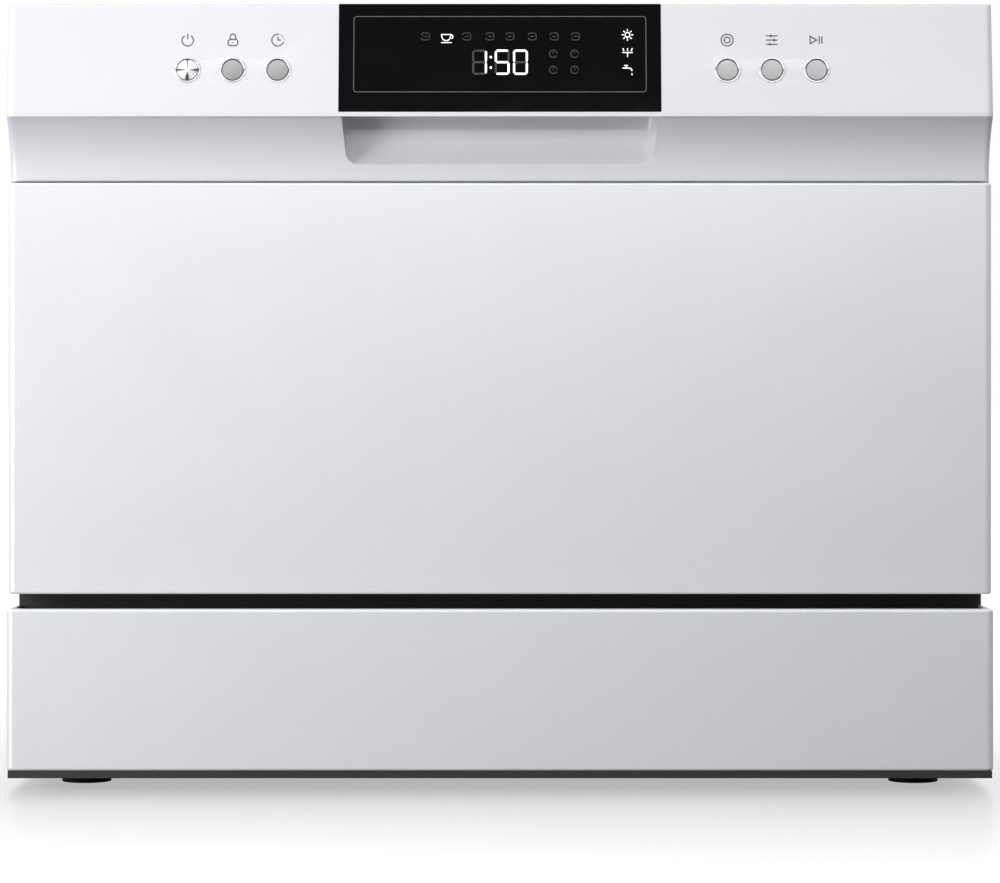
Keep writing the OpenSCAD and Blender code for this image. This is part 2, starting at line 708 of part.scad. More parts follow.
hose_r = 9;
module drain_pump() color("dimgray") {
    y = y_mid - 64.2;
    rod_y([filter_x, y - 26, axis_z], 26, 22);
    rod_y([filter_x, y - 76, axis_z], 50, 19);
    rod_y([filter_x, y - 80, axis_z], 4, 12);
    rod_z([filter_x, drain_y, axis_z], outlet_top - axis_z, 7);
}

module drain_hose() color("gray") {
    z = drain_z;
    low = axis_z + 24;
    difference() {
        rod_z([filter_x, drain_y, low], z - drain_bend - low, hose_r);
        rod_z([filter_x, drain_y, low - 1], outlet_top - low + 1.2, 7 + fit);
    }
    translate([filter_x, drain_y, z - drain_bend]) elbow(drain_bend, hose_r);
    rod_x([filter_x + drain_bend, drain_y, z], drain_x - filter_x - 2 * drain_bend, hose_r);
    translate([drain_x - drain_bend, drain_y, z]) rotate([0, 90, 0]) rotate([0, 0, 90])
        elbow(drain_bend, hose_r);
    rod_y([drain_x, drain_y + drain_bend, z], rear_in - base_t - 16 - drain_y - drain_bend, hose_r);
    difference() {
        union() {
            rod_y([drain_x, rear_in - base_t - 16, z], 16, hose_r + 3);
            rod_y([drain_x, rear_in - base_t, z], y_end - rear_in + base_t, spigot_r - neck_step);
            rod_y([drain_x, neck_end, z], y_end - neck_end, spigot_r);
        }
        rod_y([drain_x, rear_in - base_t - 6, z], 40, spigot_r - 2.5);
    }
}

module inlet_valve() color("white") {
    y = rear_in - base_t;
    difference() {
        union() {
            block([valve_x - 25, y - 26, valve_z - 16], [valve_x + 25, y, valve_z + 16]);
            rod_y([valve_x, y, valve_z], y_end - y, thread_r - neck_step);
            rod_y([valve_x, neck_end, valve_z], y_end - neck_end, thread_r);
            rod_z([valve_x, y - 13, valve_z + 16], 22, 11);
        }
        rod_y([valve_x, y - 8, valve_z], 40, thread_r - 4);
    }
    rod_x([valve_x - 31, y - 13, valve_z], 10, 6);
}

tank_x = [-x_cab + cab_t + 1.5, -x_tub - tub_t - mat_t - 0.5];
tank_y = [y_mid + 20, y_back - 8];
tank_z = [z_floor + 30, z_ceiling - 24];
hose_x = (tank_x[0] + tank_x[1]) / 2;
fill_z = z_floor - tub_t - dish_depth - 26;
module water_hoses() color("gray") {
    r = 6;
    bend = valve_x - 31 - hose_x;
    y = rear_in - base_t - 13;
    top = tank_z[0] + 20;
    turn = 12;
    translate([valve_x - 31, y, valve_z]) rotate([0, -90, 0]) elbow(bend, r);
    rod_z([hose_x, y, valve_z + bend], top - turn - valve_z - bend, r);
    translate([hose_x, y, top - turn]) rotate([0, 0, -90]) elbow(turn, r);
    rod_y([hose_x, tank_y[1], top], y - turn - tank_y[1], r);
    fy = y_mid + 29;
    rod_z([hose_x, fy, fill_z + 14], tank_z[0] - 0.1 - fill_z - 14, r);
    translate([hose_x + 14, fy, fill_z]) rotate([0, -90, 0]) elbow(14, r);
    rod_x([hose_x + 14, fy, fill_z], filter_x - 62 - hose_x - 14, r);
}

module air_break() color("white") difference() {
    block([tank_x[0], tank_y[0], tank_z[0]], [tank_x[1], tank_y[1], tank_z[1]]);
    for (k = [0 : 3]) block([tank_x[0] - 1, tank_y[0] + 20 + 38 * k, tank_z[0] + 25],
                            [tank_x[0] + 2, tank_y[0] + 44 + 38 * k, tank_z[1] - 20]);
}

module cord_gland() color("black") {
    y = rear_in - base_t;
    difference() {
        union() {
            rod_y([gland_x, y - 4, gland_z], 4, cord_r + 5);
            rod_y([gland_x, y, gland_z], base_t + cab_t, cord_r + 2);
            translate([gland_x, y_rear, gland_z]) rotate([-90, 0, 0])
                cylinder(h = fitting_reach - 2, r1 = cord_r + 5, r2 = cord_r + 2.5);
        }
        rod_y([gland_x, y - 5, gland_z], 40, cord_r);
    }
}

float_p = [-70, y_mid - 120];
module float_switch() color("white") translate([float_p[0], float_p[1], z_floor_pan]) {
    rod_z([0, 0, 0], 23, 4);
    block([-14, -9, 23], [14, 9, 40]);
    block([14, -3, 26], [20, 3, 28]);
}

module flood_float() color("khaki") translate([float_p[0], float_p[1], z_floor_pan]) difference() {
    union() {
        rod_z([0, 0, 0.05], 12, 24);
        rod_z([0, 0, 12], 2, 12);
    }
    rod_z([0, 0, -1], 20, 4 + fit);
}
module door_plan(t) translate([0, y_door]) {
    r = door_edge_r - t > 0.5 ? door_edge_r - t : 0.5;
    w = body_w - 2 * t;
    translate([-w / 2, t + r]) square([w, y_door_back - y_door - t - r + (t > 0.6 ? 1 : 0)]);
    translate([-w / 2 + r, t]) square([w - 2 * r, r + 1]);
    for (s = [-1, 1]) translate([s * (w / 2 - r), t + r]) circle(r);
}

module door_panel() color("white") {
    top = z_panel - 1;
    translate([0, 0, z_door]) linear_extrude(top - z_door) difference() {
        door_plan(0);
        door_plan(door_sheet);
    }
    folds = [[z_door, 4], [top - door_sheet, 17]];
    for (f = folds) translate([0, 0, f[0]]) linear_extrude(door_sheet) intersection() {
        door_plan(0.4);
        translate([-half_w, y_door]) square([body_w, f[1]]);
    }
}

module in_liner(inset, r) translate([0, (z_hinge - 1 + z_liner_top) / 2])
    round_rect(2 * (x_liner - inset), z_liner_top - z_hinge + 1 - 2 * inset, r);

module door_liner() color("gainsboro") difference() {
    t = 1;
    union() {
        difference() {
            along_y(y_liner - liner_depth, y_liner) in_liner(0, 8);
            along_y(y_liner - liner_depth - 1, y_liner - t) in_liner(t, 7);
        }
        along_y(y_liner - liner_press - t, y_liner) in_liner(27, 21);
    }
    along_y(y_liner - liner_press, y_liner + 1) in_liner(28, 20);
    block([-9, y_liner - 9, z_lock - 4], [9, y_liner + 1, z_lock + 4]);
    along_y(y_liner - liner_press - 3, y_liner + 1) translate([disp_x, disp_z]) round_rect(disp_w - 6, disp_h - 6, 6);
}

module door_mat() color("dimgray")
    block([-x_liner + 6, y_door + door_sheet, z_hinge + 4], [x_liner - 6, y_door + door_sheet + 4, z_panel - 4]);

// The control panel's side section: sloping face, lip and hollow band, drawn in by t
module panel_section(t) difference() {
    polygon([[y_door_back + (t > 0 ? 1 : 0), z_panel + t], [y_front + t, z_panel + t],
             [y_front + t, z_lip], [y_face_top + t - face_lean * t / face_h, body_h - t],
             [y_door_back + (t > 0 ? 1 : 0), body_h - t]]);
    translate([y_band - band_r, z_panel]) circle(band_r + t, $fn = 96);
}

module panel_plan() translate([0, y_front]) {
    r = door_edge_r;
    translate([-half_w, r]) square([body_w, y_door_back - y_front - r + 1]);
    translate([-half_w + r, 0]) square([body_w - 2 * r, r + 1]);
    for (s = [-1, 1]) translate([s * (half_w - r), r]) circle(r);
}

scoop_y = y_front + 7;
scoop_z = band_top - 5;
pocket_top = band_top + 6;
module scoop(g, top) intersection() {
    along_x(pocket_w + 2 * g) intersection() {
        translate([scoop_y, scoop_z]) circle(scoop_r + g, $fn = 96);
        translate([y_front - 5, z_panel]) square([60, top + g - z_panel]);
    }
    along_y(y_front - 5, y_front + 60) translate([0, scoop_z]) round_rect(pocket_w + 2 * g, 2 * (scoop_r + g), 7 + g);
}

module control_panel() color("white") {
    hole_r = ring_r + fit;
    difference() {
        intersection() {
            along_x(body_w) panel_section(0);
            translate([0, 0, z_panel]) linear_extrude(panel_h) panel_plan();
        }
        along_x(body_w - 2 * panel_t) panel_section(panel_t);
        block([-x_liner - 0.5, y_liner - liner_depth, z_panel - 1], [x_liner + 0.5, y_liner, z_panel + panel_t + 1]);
        scoop(pocket_t + 0.1, pocket_top);
        on_face() {
            block([-lens_w / 2, -5, 0], [lens_w / 2, lens_t, face_len + 2]);
            block([-lens_w / 2 + 10, -1, 12], [lens_w / 2 - 10, 6, face_len - 8]);
            for (x = button_x) rod_y([x, -3, button_h], 8, hole_r);
        }
    }
    intersection() {
        along_x(body_w - 2) panel_section(1);
        both_sides() for (z = [z_panel + 30, body_h - 30])
            rod_y([x_liner - 0.5, y_front, z], y_liner - liner_depth - y_front, 4);
    }
    both_sides() for (x = [60, 200]) block([x - 10, y_band + 1, z_panel - 1], [x + 10, y_band + 6, z_panel + 1]);
}

module handle_pocket() color("white") difference() {
    scoop(pocket_t, pocket_top);
    scoop(0, pocket_top);
    along_x(body_w) translate([y_band - band_r, z_panel]) circle(band_r, $fn = 96);
    block([-half_w, y_front - 10, band_top - 4], [half_w, y_front + panel_t + 0.2, body_h]);
}

module display_lens() color("black") on_face()
    block([-lens_w / 2 + 0.1, 0, 0.1], [lens_w / 2 - 0.1, lens_t, face_len]);

module control_board() color("darkgreen") on_face() {
    low = 17;
    high = face_len - 9;
    block([-190, board_in, low], [190, board_in + 1.6, high]);
    block([-lens_w / 2 + 14, lens_t + 0.1, low + 1], [lens_w / 2 - 14, board_in, high - 2]);
    for (x = button_x) {
        block([x - 3, board_in - 3, button_h - 3], [x + 3, board_in, button_h + 3]);
        rod_y([x, board_in - 3.6, button_h], 1, 1.7);
    }
    for (x = [-186, -105, 105, 186]) rod_y([x, panel_t, high - 6], board_in - panel_t + eps, 3);
}

module button_rings() color("silver") on_face() for (x = button_x) translate([x, 0, button_h])
    rotate([-90, 0, 0]) translate([0, 0, -0.7]) rotate_extrude()
        polygon([[cap_r + 0.2, 0.3], [cap_r + 0.5, 0], [ring_r - 0.3, 0], [ring_r, 0.3],
                 [ring_r, panel_t + 1.5], [cap_r + 0.2, panel_t + 1.5]]);

module button(i) on_face() translate([button_x[i], 0, button_h]) rotate([-90, 0, 0]) {
    rotate_extrude() polygon([[0, -0.3], [cap_r - 0.6, -0.5], [cap_r, 0], [cap_r, panel_t + 1],
        [cap_r + 0.8, panel_t + 1], [cap_r + 0.8, panel_t + 2], [2, panel_t + 2],
        [2, board_in - 3.6 - button_travel - 0.2], [0, board_in - 3.6 - button_travel - 0.2]]);
}
module power_button() color("silver") button(0);
module lock_button() color("silver") button(1);
module delay_button() color("silver") button(2);
module program_button() color("silver") button(3);
module function_button() color("silver") button(4);
module start_button() color("silver") button(5);

module door_lock() color("white") difference() {
    block([-26, y_liner - 18, z_lock - 13], [26, y_liner - 1, z_lock + 10]);
    block([-8.5, y_liner - 16, z_lock - 4.2], [8.5, y_liner, z_lock + 3.8]);
}

disp_x = -12;
disp_w = 150;
disp_h = 92;
disp_z = z_floor + 132;
cup_w = 62;
cup_h = 58;
cap_x = disp_x + 48;
lid_travel = 60;
module dispenser_body() color("lightgray") {
    y = y_liner - liner_press;
    translate([disp_x, 0, disp_z]) difference() {
        union() {
            along_y(y, y + 2.6) round_rect(disp_w, disp_h, 8);
            along_y(y - 20, y + 1) round_rect(disp_w - 8, disp_h - 8, 5);
        }
        along_y(y - 17, y + 5) translate([-disp_w / 2 + cup_w / 2 + 8, 0]) round_rect(cup_w, cup_h, 8);
        rod_y([cap_x - disp_x, y - 6, 0], 20, 17 + 0.3);
        along_y(y + 1.8, y + 5) translate([0, cup_h / 2 + 6.7]) square([disp_w + 2, 1], center = true);
        along_y(y + 1.8, y + 5) translate([0, -cup_h / 2 - 6.7]) square([disp_w + 2, 1], center = true);
    }
}

module dispenser_lid() color("gray") {
    y = y_liner - liner_press + 2.65;
    translate([disp_x - disp_w / 2 + cup_w / 2 + 8, 0, disp_z]) {
        along_y(y, y + 2.2) round_rect(cup_w + 6, cup_h + 10, 6);
        block([cup_w / 2 - 6, y + 2.2 - eps, -14], [cup_w / 2 - 2, y + 4, 14]);
    }
}

module rinse_cap() color("lightblue") translate([cap_x, y_liner - liner_press, disp_z]) {
    difference() {
        rod_y([0, -5.9, 0], 8.4, 17);
        for (s = [-1, 1]) along_y(-2, 3) intersection() {
            circle(14);
            translate([0, s * 12]) square([30, 18], center = true);
        }
    }
}

// The cup shelf turns in two eyes over the rim of the rack's left side
shelf_x = -rack_w / 2 + 1;
shelf_z = z_rack + rack_side_h - 2 + 2 * wire_r + 0.3;
eye_y = [rack_front + 60, rack_front + rack_len - 60];
shelf_w = 84;

rack_back = rack_front + rack_len;
rear_lean = 8;
function front_y(h) = rack_front - rack_lean * h / rack_front_h;
function back_y(h) = rack_back + rear_lean * h / rack_side_h;
module dish_rack() color("gray") {
    w = rack_w / 2;
    xs = [for (i = [0 : long_wires - 1]) -w + 14 + i * (rack_w - 28) / (long_wires - 1)];
    ys = [for (i = [0 : cross_wires - 1]) rack_front + 10 + i * (rack_len - 20) / (cross_wires - 1)];
    z0 = z_rack + wire_r;
    low = z0 + 1.7 * wire_r;
    for (x = xs) bent_wire([[x, front_y(rack_front_h), z_rack + rack_front_h], [x, rack_front, z0],
        [x, rack_back, z0], [x, back_y(rack_side_h), z_rack + rack_side_h]], wire_r);
    for (y = ys) bent_wire([[-w, y, z_rack + rack_side_h - 3], [-w + 9, y, low], [w - 9, y, low],
        [w, y, z_rack + rack_side_h - 3]], wire_r);
    rim = z_rack + rack_front_h - 1;
    top = z_rack + rack_side_h - 2;
    for (h = [rack_front_h * 0.5, rack_front_h - 1])
        wire([-w, front_y(h) + 1.4, z_rack + h], [w, front_y(h) + 1.4, z_rack + h], wire_r);
    for (h = [rack_side_h * 0.5, rack_side_h - 2])
        wire([-w, back_y(h) - 1.4, z_rack + h], [w, back_y(h) - 1.4, z_rack + h], wire_r);
    for (s = [-1, 1]) {
        bent_wire([[s * w, front_y(rack_front_h) + 1, rim], [s * w, rack_front + 24, top],
                   [s * w, back_y(rack_side_h - 2), top]], wire_r);
        wire([s * (w - 4.5), front_y(rack_front_h * 0.5), z_rack + rack_front_h * 0.5],
             [s * (w - 4.5), back_y(rack_side_h * 0.5), z_rack + rack_side_h * 0.5], wire_r);
    }
    for (x = tine_x, y = tine_y) wire([x, y, low - 1], [x, y + 8, low + tine_h], tine_r);
    for (x = tine_x) wire([x, ys[0], low + 1.5 * wire_r], [x, ys[cross_wires - 1], low + 1.5 * wire_r], wire_r);
    both_sides() for (y = wheel_y) {
        foot = z_rack + rack_side_h * 0.5 - 3;
        block([w - 5, y - 13, foot], [w, y + 13, foot + 6]);
        block([w - 1, y - 13, foot], [x_wheel - 1, y + 13, top + 1.5]);
        rod_x([w, y, z_rail], x_wheel - w - 0.1, axle_r + 2);
        rod_x([w, y, z_rail], x_wheel - w + roller_w + 0.4, axle_r);
    }
    for (y = eye_y) difference() {
        rod_y([shelf_x, y - 4, shelf_z], 8, 2.2 * wire_r);
        rod_y([shelf_x, y - 5, shelf_z], 10, wire_r + fit);
    }
}
tine_x = [for (i = [0 : 3]) 62 - rack_w / 2 + 58 * i];
tine_y = [for (i = [0 : 8]) rack_front + 30 + i * 32];

module cutlery_basket() color("darkgray") {
    x = [rack_w / 2 - 14 - basket_w, rack_w / 2 - 14];
    y = [rack_front + 14, rack_front + 14 + basket_len];
    z = [z_rack + 3.7 * wire_r, z_rack + 3.7 * wire_r + basket_h];
    t = 2;
    difference() {
        block([x[0], y[0], z[0]], [x[1], y[1], z[1]]);
        for (i = [0, 1], j = [0 : 3]) {
            cw = (x[1] - x[0] - t) / 2;
            cd = (y[1] - y[0] - t) / 4;
            block([x[0] + t + i * cw, y[0] + t + j * cd, z[0] + t],
                  [x[0] + (i + 1) * cw, y[0] + (j + 1) * cd, z[1] + 1]);
        }
        for (k = [0 : 17], h = [12, 60])
            block([x[0] - 1, y[0] + 6 + 12 * k, z[0] + h], [x[1] + 1, y[0] + 12 + 12 * k, z[0] + h + 36]);
    }
}

module cup_shelf() color("gray") {
    y = [rack_front + 40, rack_back - 40];
    pitch = (y[1] - y[0] - 4) / 8;
    wire([shelf_x, y[0], shelf_z], [shelf_x, y[1], shelf_z], wire_r);
    wire([shelf_x + shelf_w, y[0], shelf_z], [shelf_x + shelf_w, y[1], shelf_z], wire_r);
    wire([shelf_x + shelf_w / 2, y[0], shelf_z + 0.5],
         [shelf_x + shelf_w / 2, y[1], shelf_z + 0.5], wire_r);
    for (i = [0 : 8]) wire([shelf_x, y[0] + 2 + i * pitch, shelf_z + 1],
                           [shelf_x + shelf_w, y[0] + 2 + i * pitch, shelf_z + 1], wire_r);
}

base_tray();
feet();
front_skirt();
side_panels();
top_cover();
rear_cover();
rear_screws();
front_frame();
tub_wrapper();
tub_back();
tub_floor();
sound_mat();
door_seals();
door_strike();
hinge_brackets();
balance_springs();
roller_pins();
front_tub_rollers();
rear_tub_rollers();
sump();
filter_plate();
filter_cylinder();
spray_post();
spray_arm();
circulation_pump();
flow_heater();
pressure_pipes();
drain_pump();
drain_hose();
inlet_valve();
water_hoses();
air_break();
cord_gland();
float_switch();
flood_float();
door_panel();
door_liner();
hinge_arms();
door_mat();
control_panel();
handle_pocket();
display_lens();
control_board();
button_rings();
power_button();
lock_button();
delay_button();
program_button();
function_button();
start_button();
door_lock();
dispenser_body();
dispenser_lid();
rinse_cap();
rails();
dish_rack();
front_rack_wheels();
rear_rack_wheels();
cutlery_basket();
cup_shelf();
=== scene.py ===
"""Surfaces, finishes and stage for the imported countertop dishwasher, worked out in millimetres."""

import json
import math

import bmesh
import bpy
import numpy as np
from bpy.props import FloatProperty, FloatVectorProperty, PointerProperty
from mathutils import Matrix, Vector
from mathutils.geometry import delaunay_2d_cdt


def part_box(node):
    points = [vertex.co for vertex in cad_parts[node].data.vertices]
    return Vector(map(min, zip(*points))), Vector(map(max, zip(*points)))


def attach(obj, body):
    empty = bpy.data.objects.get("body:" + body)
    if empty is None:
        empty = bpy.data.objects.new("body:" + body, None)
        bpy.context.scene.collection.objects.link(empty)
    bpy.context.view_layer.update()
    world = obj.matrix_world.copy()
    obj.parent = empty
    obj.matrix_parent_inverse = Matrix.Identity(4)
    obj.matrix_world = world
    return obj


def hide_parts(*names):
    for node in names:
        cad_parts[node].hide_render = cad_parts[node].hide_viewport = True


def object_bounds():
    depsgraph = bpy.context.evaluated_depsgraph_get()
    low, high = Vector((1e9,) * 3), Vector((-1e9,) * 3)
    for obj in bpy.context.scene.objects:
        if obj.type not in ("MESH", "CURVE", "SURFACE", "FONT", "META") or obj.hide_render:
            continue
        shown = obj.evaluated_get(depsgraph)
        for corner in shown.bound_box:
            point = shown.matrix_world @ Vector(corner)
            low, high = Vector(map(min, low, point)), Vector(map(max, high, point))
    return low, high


bl_info = {
    "name": "Countertop dishwasher",
    "version": (1, 0, 0),
    "blender": (4, 5, 0),
    "location": "3D View > Sidebar > Dishwasher",
    "description": "Builds the surfaces, the finishes and the stage of a countertop dishwasher",
    "category": "Object",
}

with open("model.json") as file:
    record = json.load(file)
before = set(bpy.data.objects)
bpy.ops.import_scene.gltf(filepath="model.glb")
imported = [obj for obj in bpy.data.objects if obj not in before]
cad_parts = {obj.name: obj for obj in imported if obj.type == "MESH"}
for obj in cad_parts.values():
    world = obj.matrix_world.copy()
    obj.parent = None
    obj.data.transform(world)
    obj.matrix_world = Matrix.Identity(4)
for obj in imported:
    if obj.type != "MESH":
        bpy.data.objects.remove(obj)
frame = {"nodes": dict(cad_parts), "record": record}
CAD_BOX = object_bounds()
NODES = frame["nodes"]
SLOT_OF = {row["node"]: row["material_slot"] for row in frame["record"]["subparts"]}
BODY_OF = {n: body for body, nodes in frame["record"]["behaviour"]["bodies"].items() for n in nodes}
FINISH = {}

# Fixed lines of the front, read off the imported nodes: the control panel is PANEL_HEIGHT high; its sloping
# face starts at FACE_LOW, leans back and rises by the next two, and is FACE_LENGTH long; the hollow band runs
# from BAND_TOP to BAND_END over the panel's foot and goes BAND_IN deep; the scoop's circle has its middle
# SCOOP_Y behind the front, its roof stands ROOF_RISE over the band's top and ROOF_IN behind the front, and
# its ends are drawn in over TAPER_HEIGHT; the caps and the marks sit BUTTON_RISE and MARK_RISE up the face
PANEL_HEIGHT = 99.0
FACE_LOW = 376.7
FACE_LEAN, FACE_RISE = 9.0, 61.3
FACE_LENGTH = 61.957
BAND_TOP, BAND_IN = 374.4, 17.6
BAND_END = 1.6
SCOOP_Y, SCOOP_Z, SCOOP_R = 7.0, 369.4, 23.0
ROOF_RISE, ROOF_IN = 5.5, 3.0
TAPER_HEIGHT = 26.0
BUTTONS = (-174.2, -149.0, -123.9, 126.8, 151.7, 176.5)
BUTTON_RISE = 24.0
MARK_RISE = 41.1
BUTTON_NODES = ("power_button", "lock_button", "delay_button", "program_button", "function_button",
                "start_button")

# Sizes that more than one piece or profile uses: a foot, a wheel, and the radius at which a turned profile
# starts, so that its pole stays closed
FOOT_RADIUS = 14.0
WHEEL_WIDTH = 7.8
POLE = 0.02

# Sockets of a Mix node for two colours and their result, and of a Map Range node
MIX_A, MIX_B, MIX_OUT = 6, 7, 2
MAP_KEYS = ("From Min", "From Max", "To Min", "To Max")

# The stage, in metres: the floor, the object's half plan on it, round which the floor's painted shadow lies,
# the floor's tone as the object sees it, and the camera's shift
FLOOR_HALF = 60
HALF_PLAN = (0.235, 0.20, 0)
BOUNCE = (0.14, 0.14, 0.145)
SHIFT = (0.0001, -0.0388)


# Sizes and colours

def length(label, note, default):
    """A length in millimetres."""
    return FloatProperty(name=label, description=note, default=default, min=0.0)


def power(label, note, default):
    """The power of a light or the strength of a glow."""
    return FloatProperty(name=label, description=note, default=default, min=0.0)


def colour(label, note, default):
    """A linear colour."""
    return FloatVectorProperty(name=label, description=note, default=default, size=3, min=0.0, max=1.0,
                               subtype="COLOR")


class DISHWASHER_PG_front(bpy.types.PropertyGroup):
    """Sizes of the door and the control panel."""

    side_round: length("Side rounding", "Rounding of the upright edges of the front", 4.0)
    edge_round: length("Edge rounding", "Rounding of the level edges of the sheet metal", 1.6)
    moulding: length("Moulding wall", "Wall of the control panel at its openings", 1.0)
    sheet: length("Sheet", "Thickness of the painted sheet", 1.0)
    pocket_half: length("Pocket half width", "Half the width of the finger pocket at its top", 88.4)
    pocket_taper: length("Pocket taper", "How much each end of the pocket draws in towards its foot", 2.6)
    pocket_round: length("Pocket rounding", "Rounding of the pocket's corners", 6.5)
    lens_half: length("Lens half width", "Half the width of the display lens", 90.0)
    lens_sheet: length("Lens thickness", "Thickness of the display lens", 1.6)
    cap_radius: length("Cap radius", "Radius of a button cap", 5.8)
    ring_width: length("Ring width", "Width of the bright ring round a cap", 1.0)
    cap_gap: length("Cap gap", "Gap between a button cap and its ring", 0.35)
    mark_width: length("Mark width", "Line width of the printed marks", 0.70)


class DISHWASHER_PG_inside(bpy.types.PropertyGroup):
    """Sizes of the pieces in the tub."""

    wire: length("Wire radius", "Radius of the rack's main wires", 2.0)
    tine: length("Tine radius", "Radius of the tines", 1.5)
    wire_bend: length("Wire bend", "Radius of the bends in the wires", 9.0)
    press: length("Pressing", "Depth of the beads pressed into the tub", 1.6)


class DISHWASHER_PG_colours(bpy.types.PropertyGroup):
    """Colours of the finishes."""

    paint: colour("Paint", "Painted sheet of the door, skirt and cabinet", (0.78, 0.79, 0.82))
    moulding: colour("Moulding", "White mouldings of the control panel", (0.71, 0.71, 0.75))
    grey: colour("Grey", "Grey mouldings inside the tub", (0.30, 0.32, 0.34))
    black: colour("Black", "Base, drain pump and gland", (0.03, 0.03, 0.032))
    lens: colour("Lens", "Display lens", (0.004, 0.004, 0.005))
    glow: colour("Glow", "Lit digits and symbols", (1.0, 1.0, 1.0))
    mark: colour("Mark", "Printed marks over the buttons", (0.05, 0.055, 0.065))
    steel: colour("Stainless", "Tub and liner", (0.66, 0.66, 0.665))
    zinc: colour("Zinc", "Plated sheet", (0.50, 0.52, 0.54))
    wire: colour("Wire coating", "Nylon coating of the rack", (0.36, 0.39, 0.42))


class DISHWASHER_PG_stage(bpy.types.PropertyGroup):
    """Camera, lights and floor."""

    distance: FloatProperty(name="Camera distance", description="From the lip of the panel", default=2.0,
                            min=0.5, unit="LENGTH")
    height: FloatProperty(name="Camera height", description="Over the floor", default=0.215, min=0.0,
                          unit="LENGTH")
    lens: FloatProperty(name="Lens", description="Focal length in millimetres", default=129.4, min=20.0)
    top: power("Top light", "Power of the strip over the front", 1.8)
    key: power("Key light", "Power of the light at the left", 7.9)
    fill: power("Fill light", "Power of the light at the upper right", 1.9)
    front: power("Front light", "Power of the low light before the pocket", 3.1)
    sky: power("Room light", "Strength of the room in front of the object", 0.15)
    back: power("Back light", "Strength of the room behind the object", 0.8)
    floor: colour("Floor", "Plain floor", (0.08, 0.08, 0.083))
    # Painted light on the floor: an emission only the camera sees, weaker near the object as a painted shadow
    glow: power("Floor glow", "How much the floor lightens away from the object", 1.0)


def sizes(name):
    """One of the property groups of the scene."""
    return getattr(bpy.context.scene, "dishwasher_" + name)


# Forms: points and faces as whole arrays

def unit(v):
    """Vectors scaled to length one."""
    return v / np.linalg.norm(v, axis=-1, keepdims=True)


def quads(rows, columns, close_rows=False, close_columns=False):
    """Faces between neighbours on a grid of points that are numbered row by row."""
    r = np.arange(rows if close_rows else rows - 1)[:, None]
    c = np.arange(columns if close_columns else columns - 1)[None]
    r2, c2 = (r + 1) % rows, (c + 1) % columns
    corners = [r * columns + c, r2 * columns + c, r2 * columns + c2, r * columns + c2]
    return np.stack(corners, -1).reshape(-1, 4)


def sheet_form(points, inside):
    """An open surface on a grid of points, with its faces turned away from a point inside."""
    rows, columns = points.shape[:2]
    return points.reshape(-1, 3), quads(rows, columns), [], np.asarray(inside, float)


def belt(rings, inside):
    """An open skin through rings of points that close on themselves, turned away from a point inside."""
    n, m = rings.shape[:2]
    return rings.reshape(-1, 3), quads(n, m, False, True), [], np.asarray(inside, float)


def flat_form(points, faces, inside):
    """Flat faces over points, turned away from a point inside."""
    return points, np.empty((0, 4), int), faces, np.asarray(inside, float)


def loft(rings, closed=False):
    """A closed skin through a stack of rings: point j of ring i is rings[i, j], and flat faces close its
    ends."""
    n, m = rings.shape[:2]
    ends = [] if closed else [np.arange(m), (np.arange(m) + (n - 1) * m)[::-1]]
    return rings.reshape(-1, 3), quads(n, m, closed, True), ends, None


def turned(form, start):
    """The form's faces as lists, numbered from start and turned outwards: the signed volume of its faces'
    fans from the inside point (any point, for a closed form) has to be positive."""
    points, faces, ends, inside = form
    fans = [faces[:, [0, 1, 2]], faces[:, [0, 2, 3]]] if len(faces) else []
    fans += [np.stack([np.full(len(e) - 2, e[0]), e[1:-1], e[2:]], 1) for e in ends]
    corner = (points - (points.mean(0) if inside is None else inside))[np.concatenate(fans)]
    volume = np.einsum("ij,ij->i", corner[:, 0], np.cross(corner[:, 1], corner[:, 2])).sum()
    if volume < 0:
        faces, ends = faces[:, ::-1], [e[::-1] for e in ends]
    return (faces + start).tolist() + [(e + start).tolist() for e in ends]


def rounded(corners, radius, steps=6):
    """The path through corners with each turn replaced by an arc: its centre lies on the turn's bisector at
    radius / sin(half angle), and it meets the legs at radius / tan(half angle) from the corner."""
    p = np.asarray(corners, float)
    a, b = p[:-2] - p[1:-1], p[2:] - p[1:-1]
    reach = 0.49 * np.minimum(np.linalg.norm(a, axis=1), np.linalg.norm(b, axis=1))
    a, b = unit(a), unit(b)
    half = np.arccos(np.clip((a * b).sum(1), -1, 1)) / 2
    cut = np.minimum(np.broadcast_to(radius, half.shape) / np.tan(half), reach)
    r = (cut * np.tan(half))[:, None, None]
    middle, along = unit(a + b), unit(b - a)
    centre = p[1:-1] + middle * (r[:, 0] / np.sin(half)[:, None])
    t = np.linspace(-1, 1, steps + 1)[None, :, None] * (np.pi / 2 - half)[:, None, None]
    arc = centre[:, None] + r * (along[:, None] * np.sin(t) - middle[:, None] * np.cos(t))
    return np.concatenate([p[:1], arc.reshape(-1, p.shape[1]), p[-1:]])


def ring_path(corners, radius, steps=6):
    """A closed outline through corners, each of them rounded."""
    p = np.asarray(corners, float)
    return rounded(np.concatenate([p[-1:], p, p[:1]]), radius, steps)[1:-1]


def rectangle(low, high, radius, steps=6):
    """A rounded rectangle, anticlockwise."""
    (u0, v0), (u1, v1) = low, high
    return ring_path([[u0, v0], [u1, v0], [u1, v1], [u0, v1]], radius, steps)


def circle(centre, radius, sides=32):
    """A circle, anticlockwise."""
    t = np.arange(sides) * 2 * np.pi / sides
    return np.asarray(centre, float) + radius * np.stack([np.cos(t), np.sin(t)], 1)


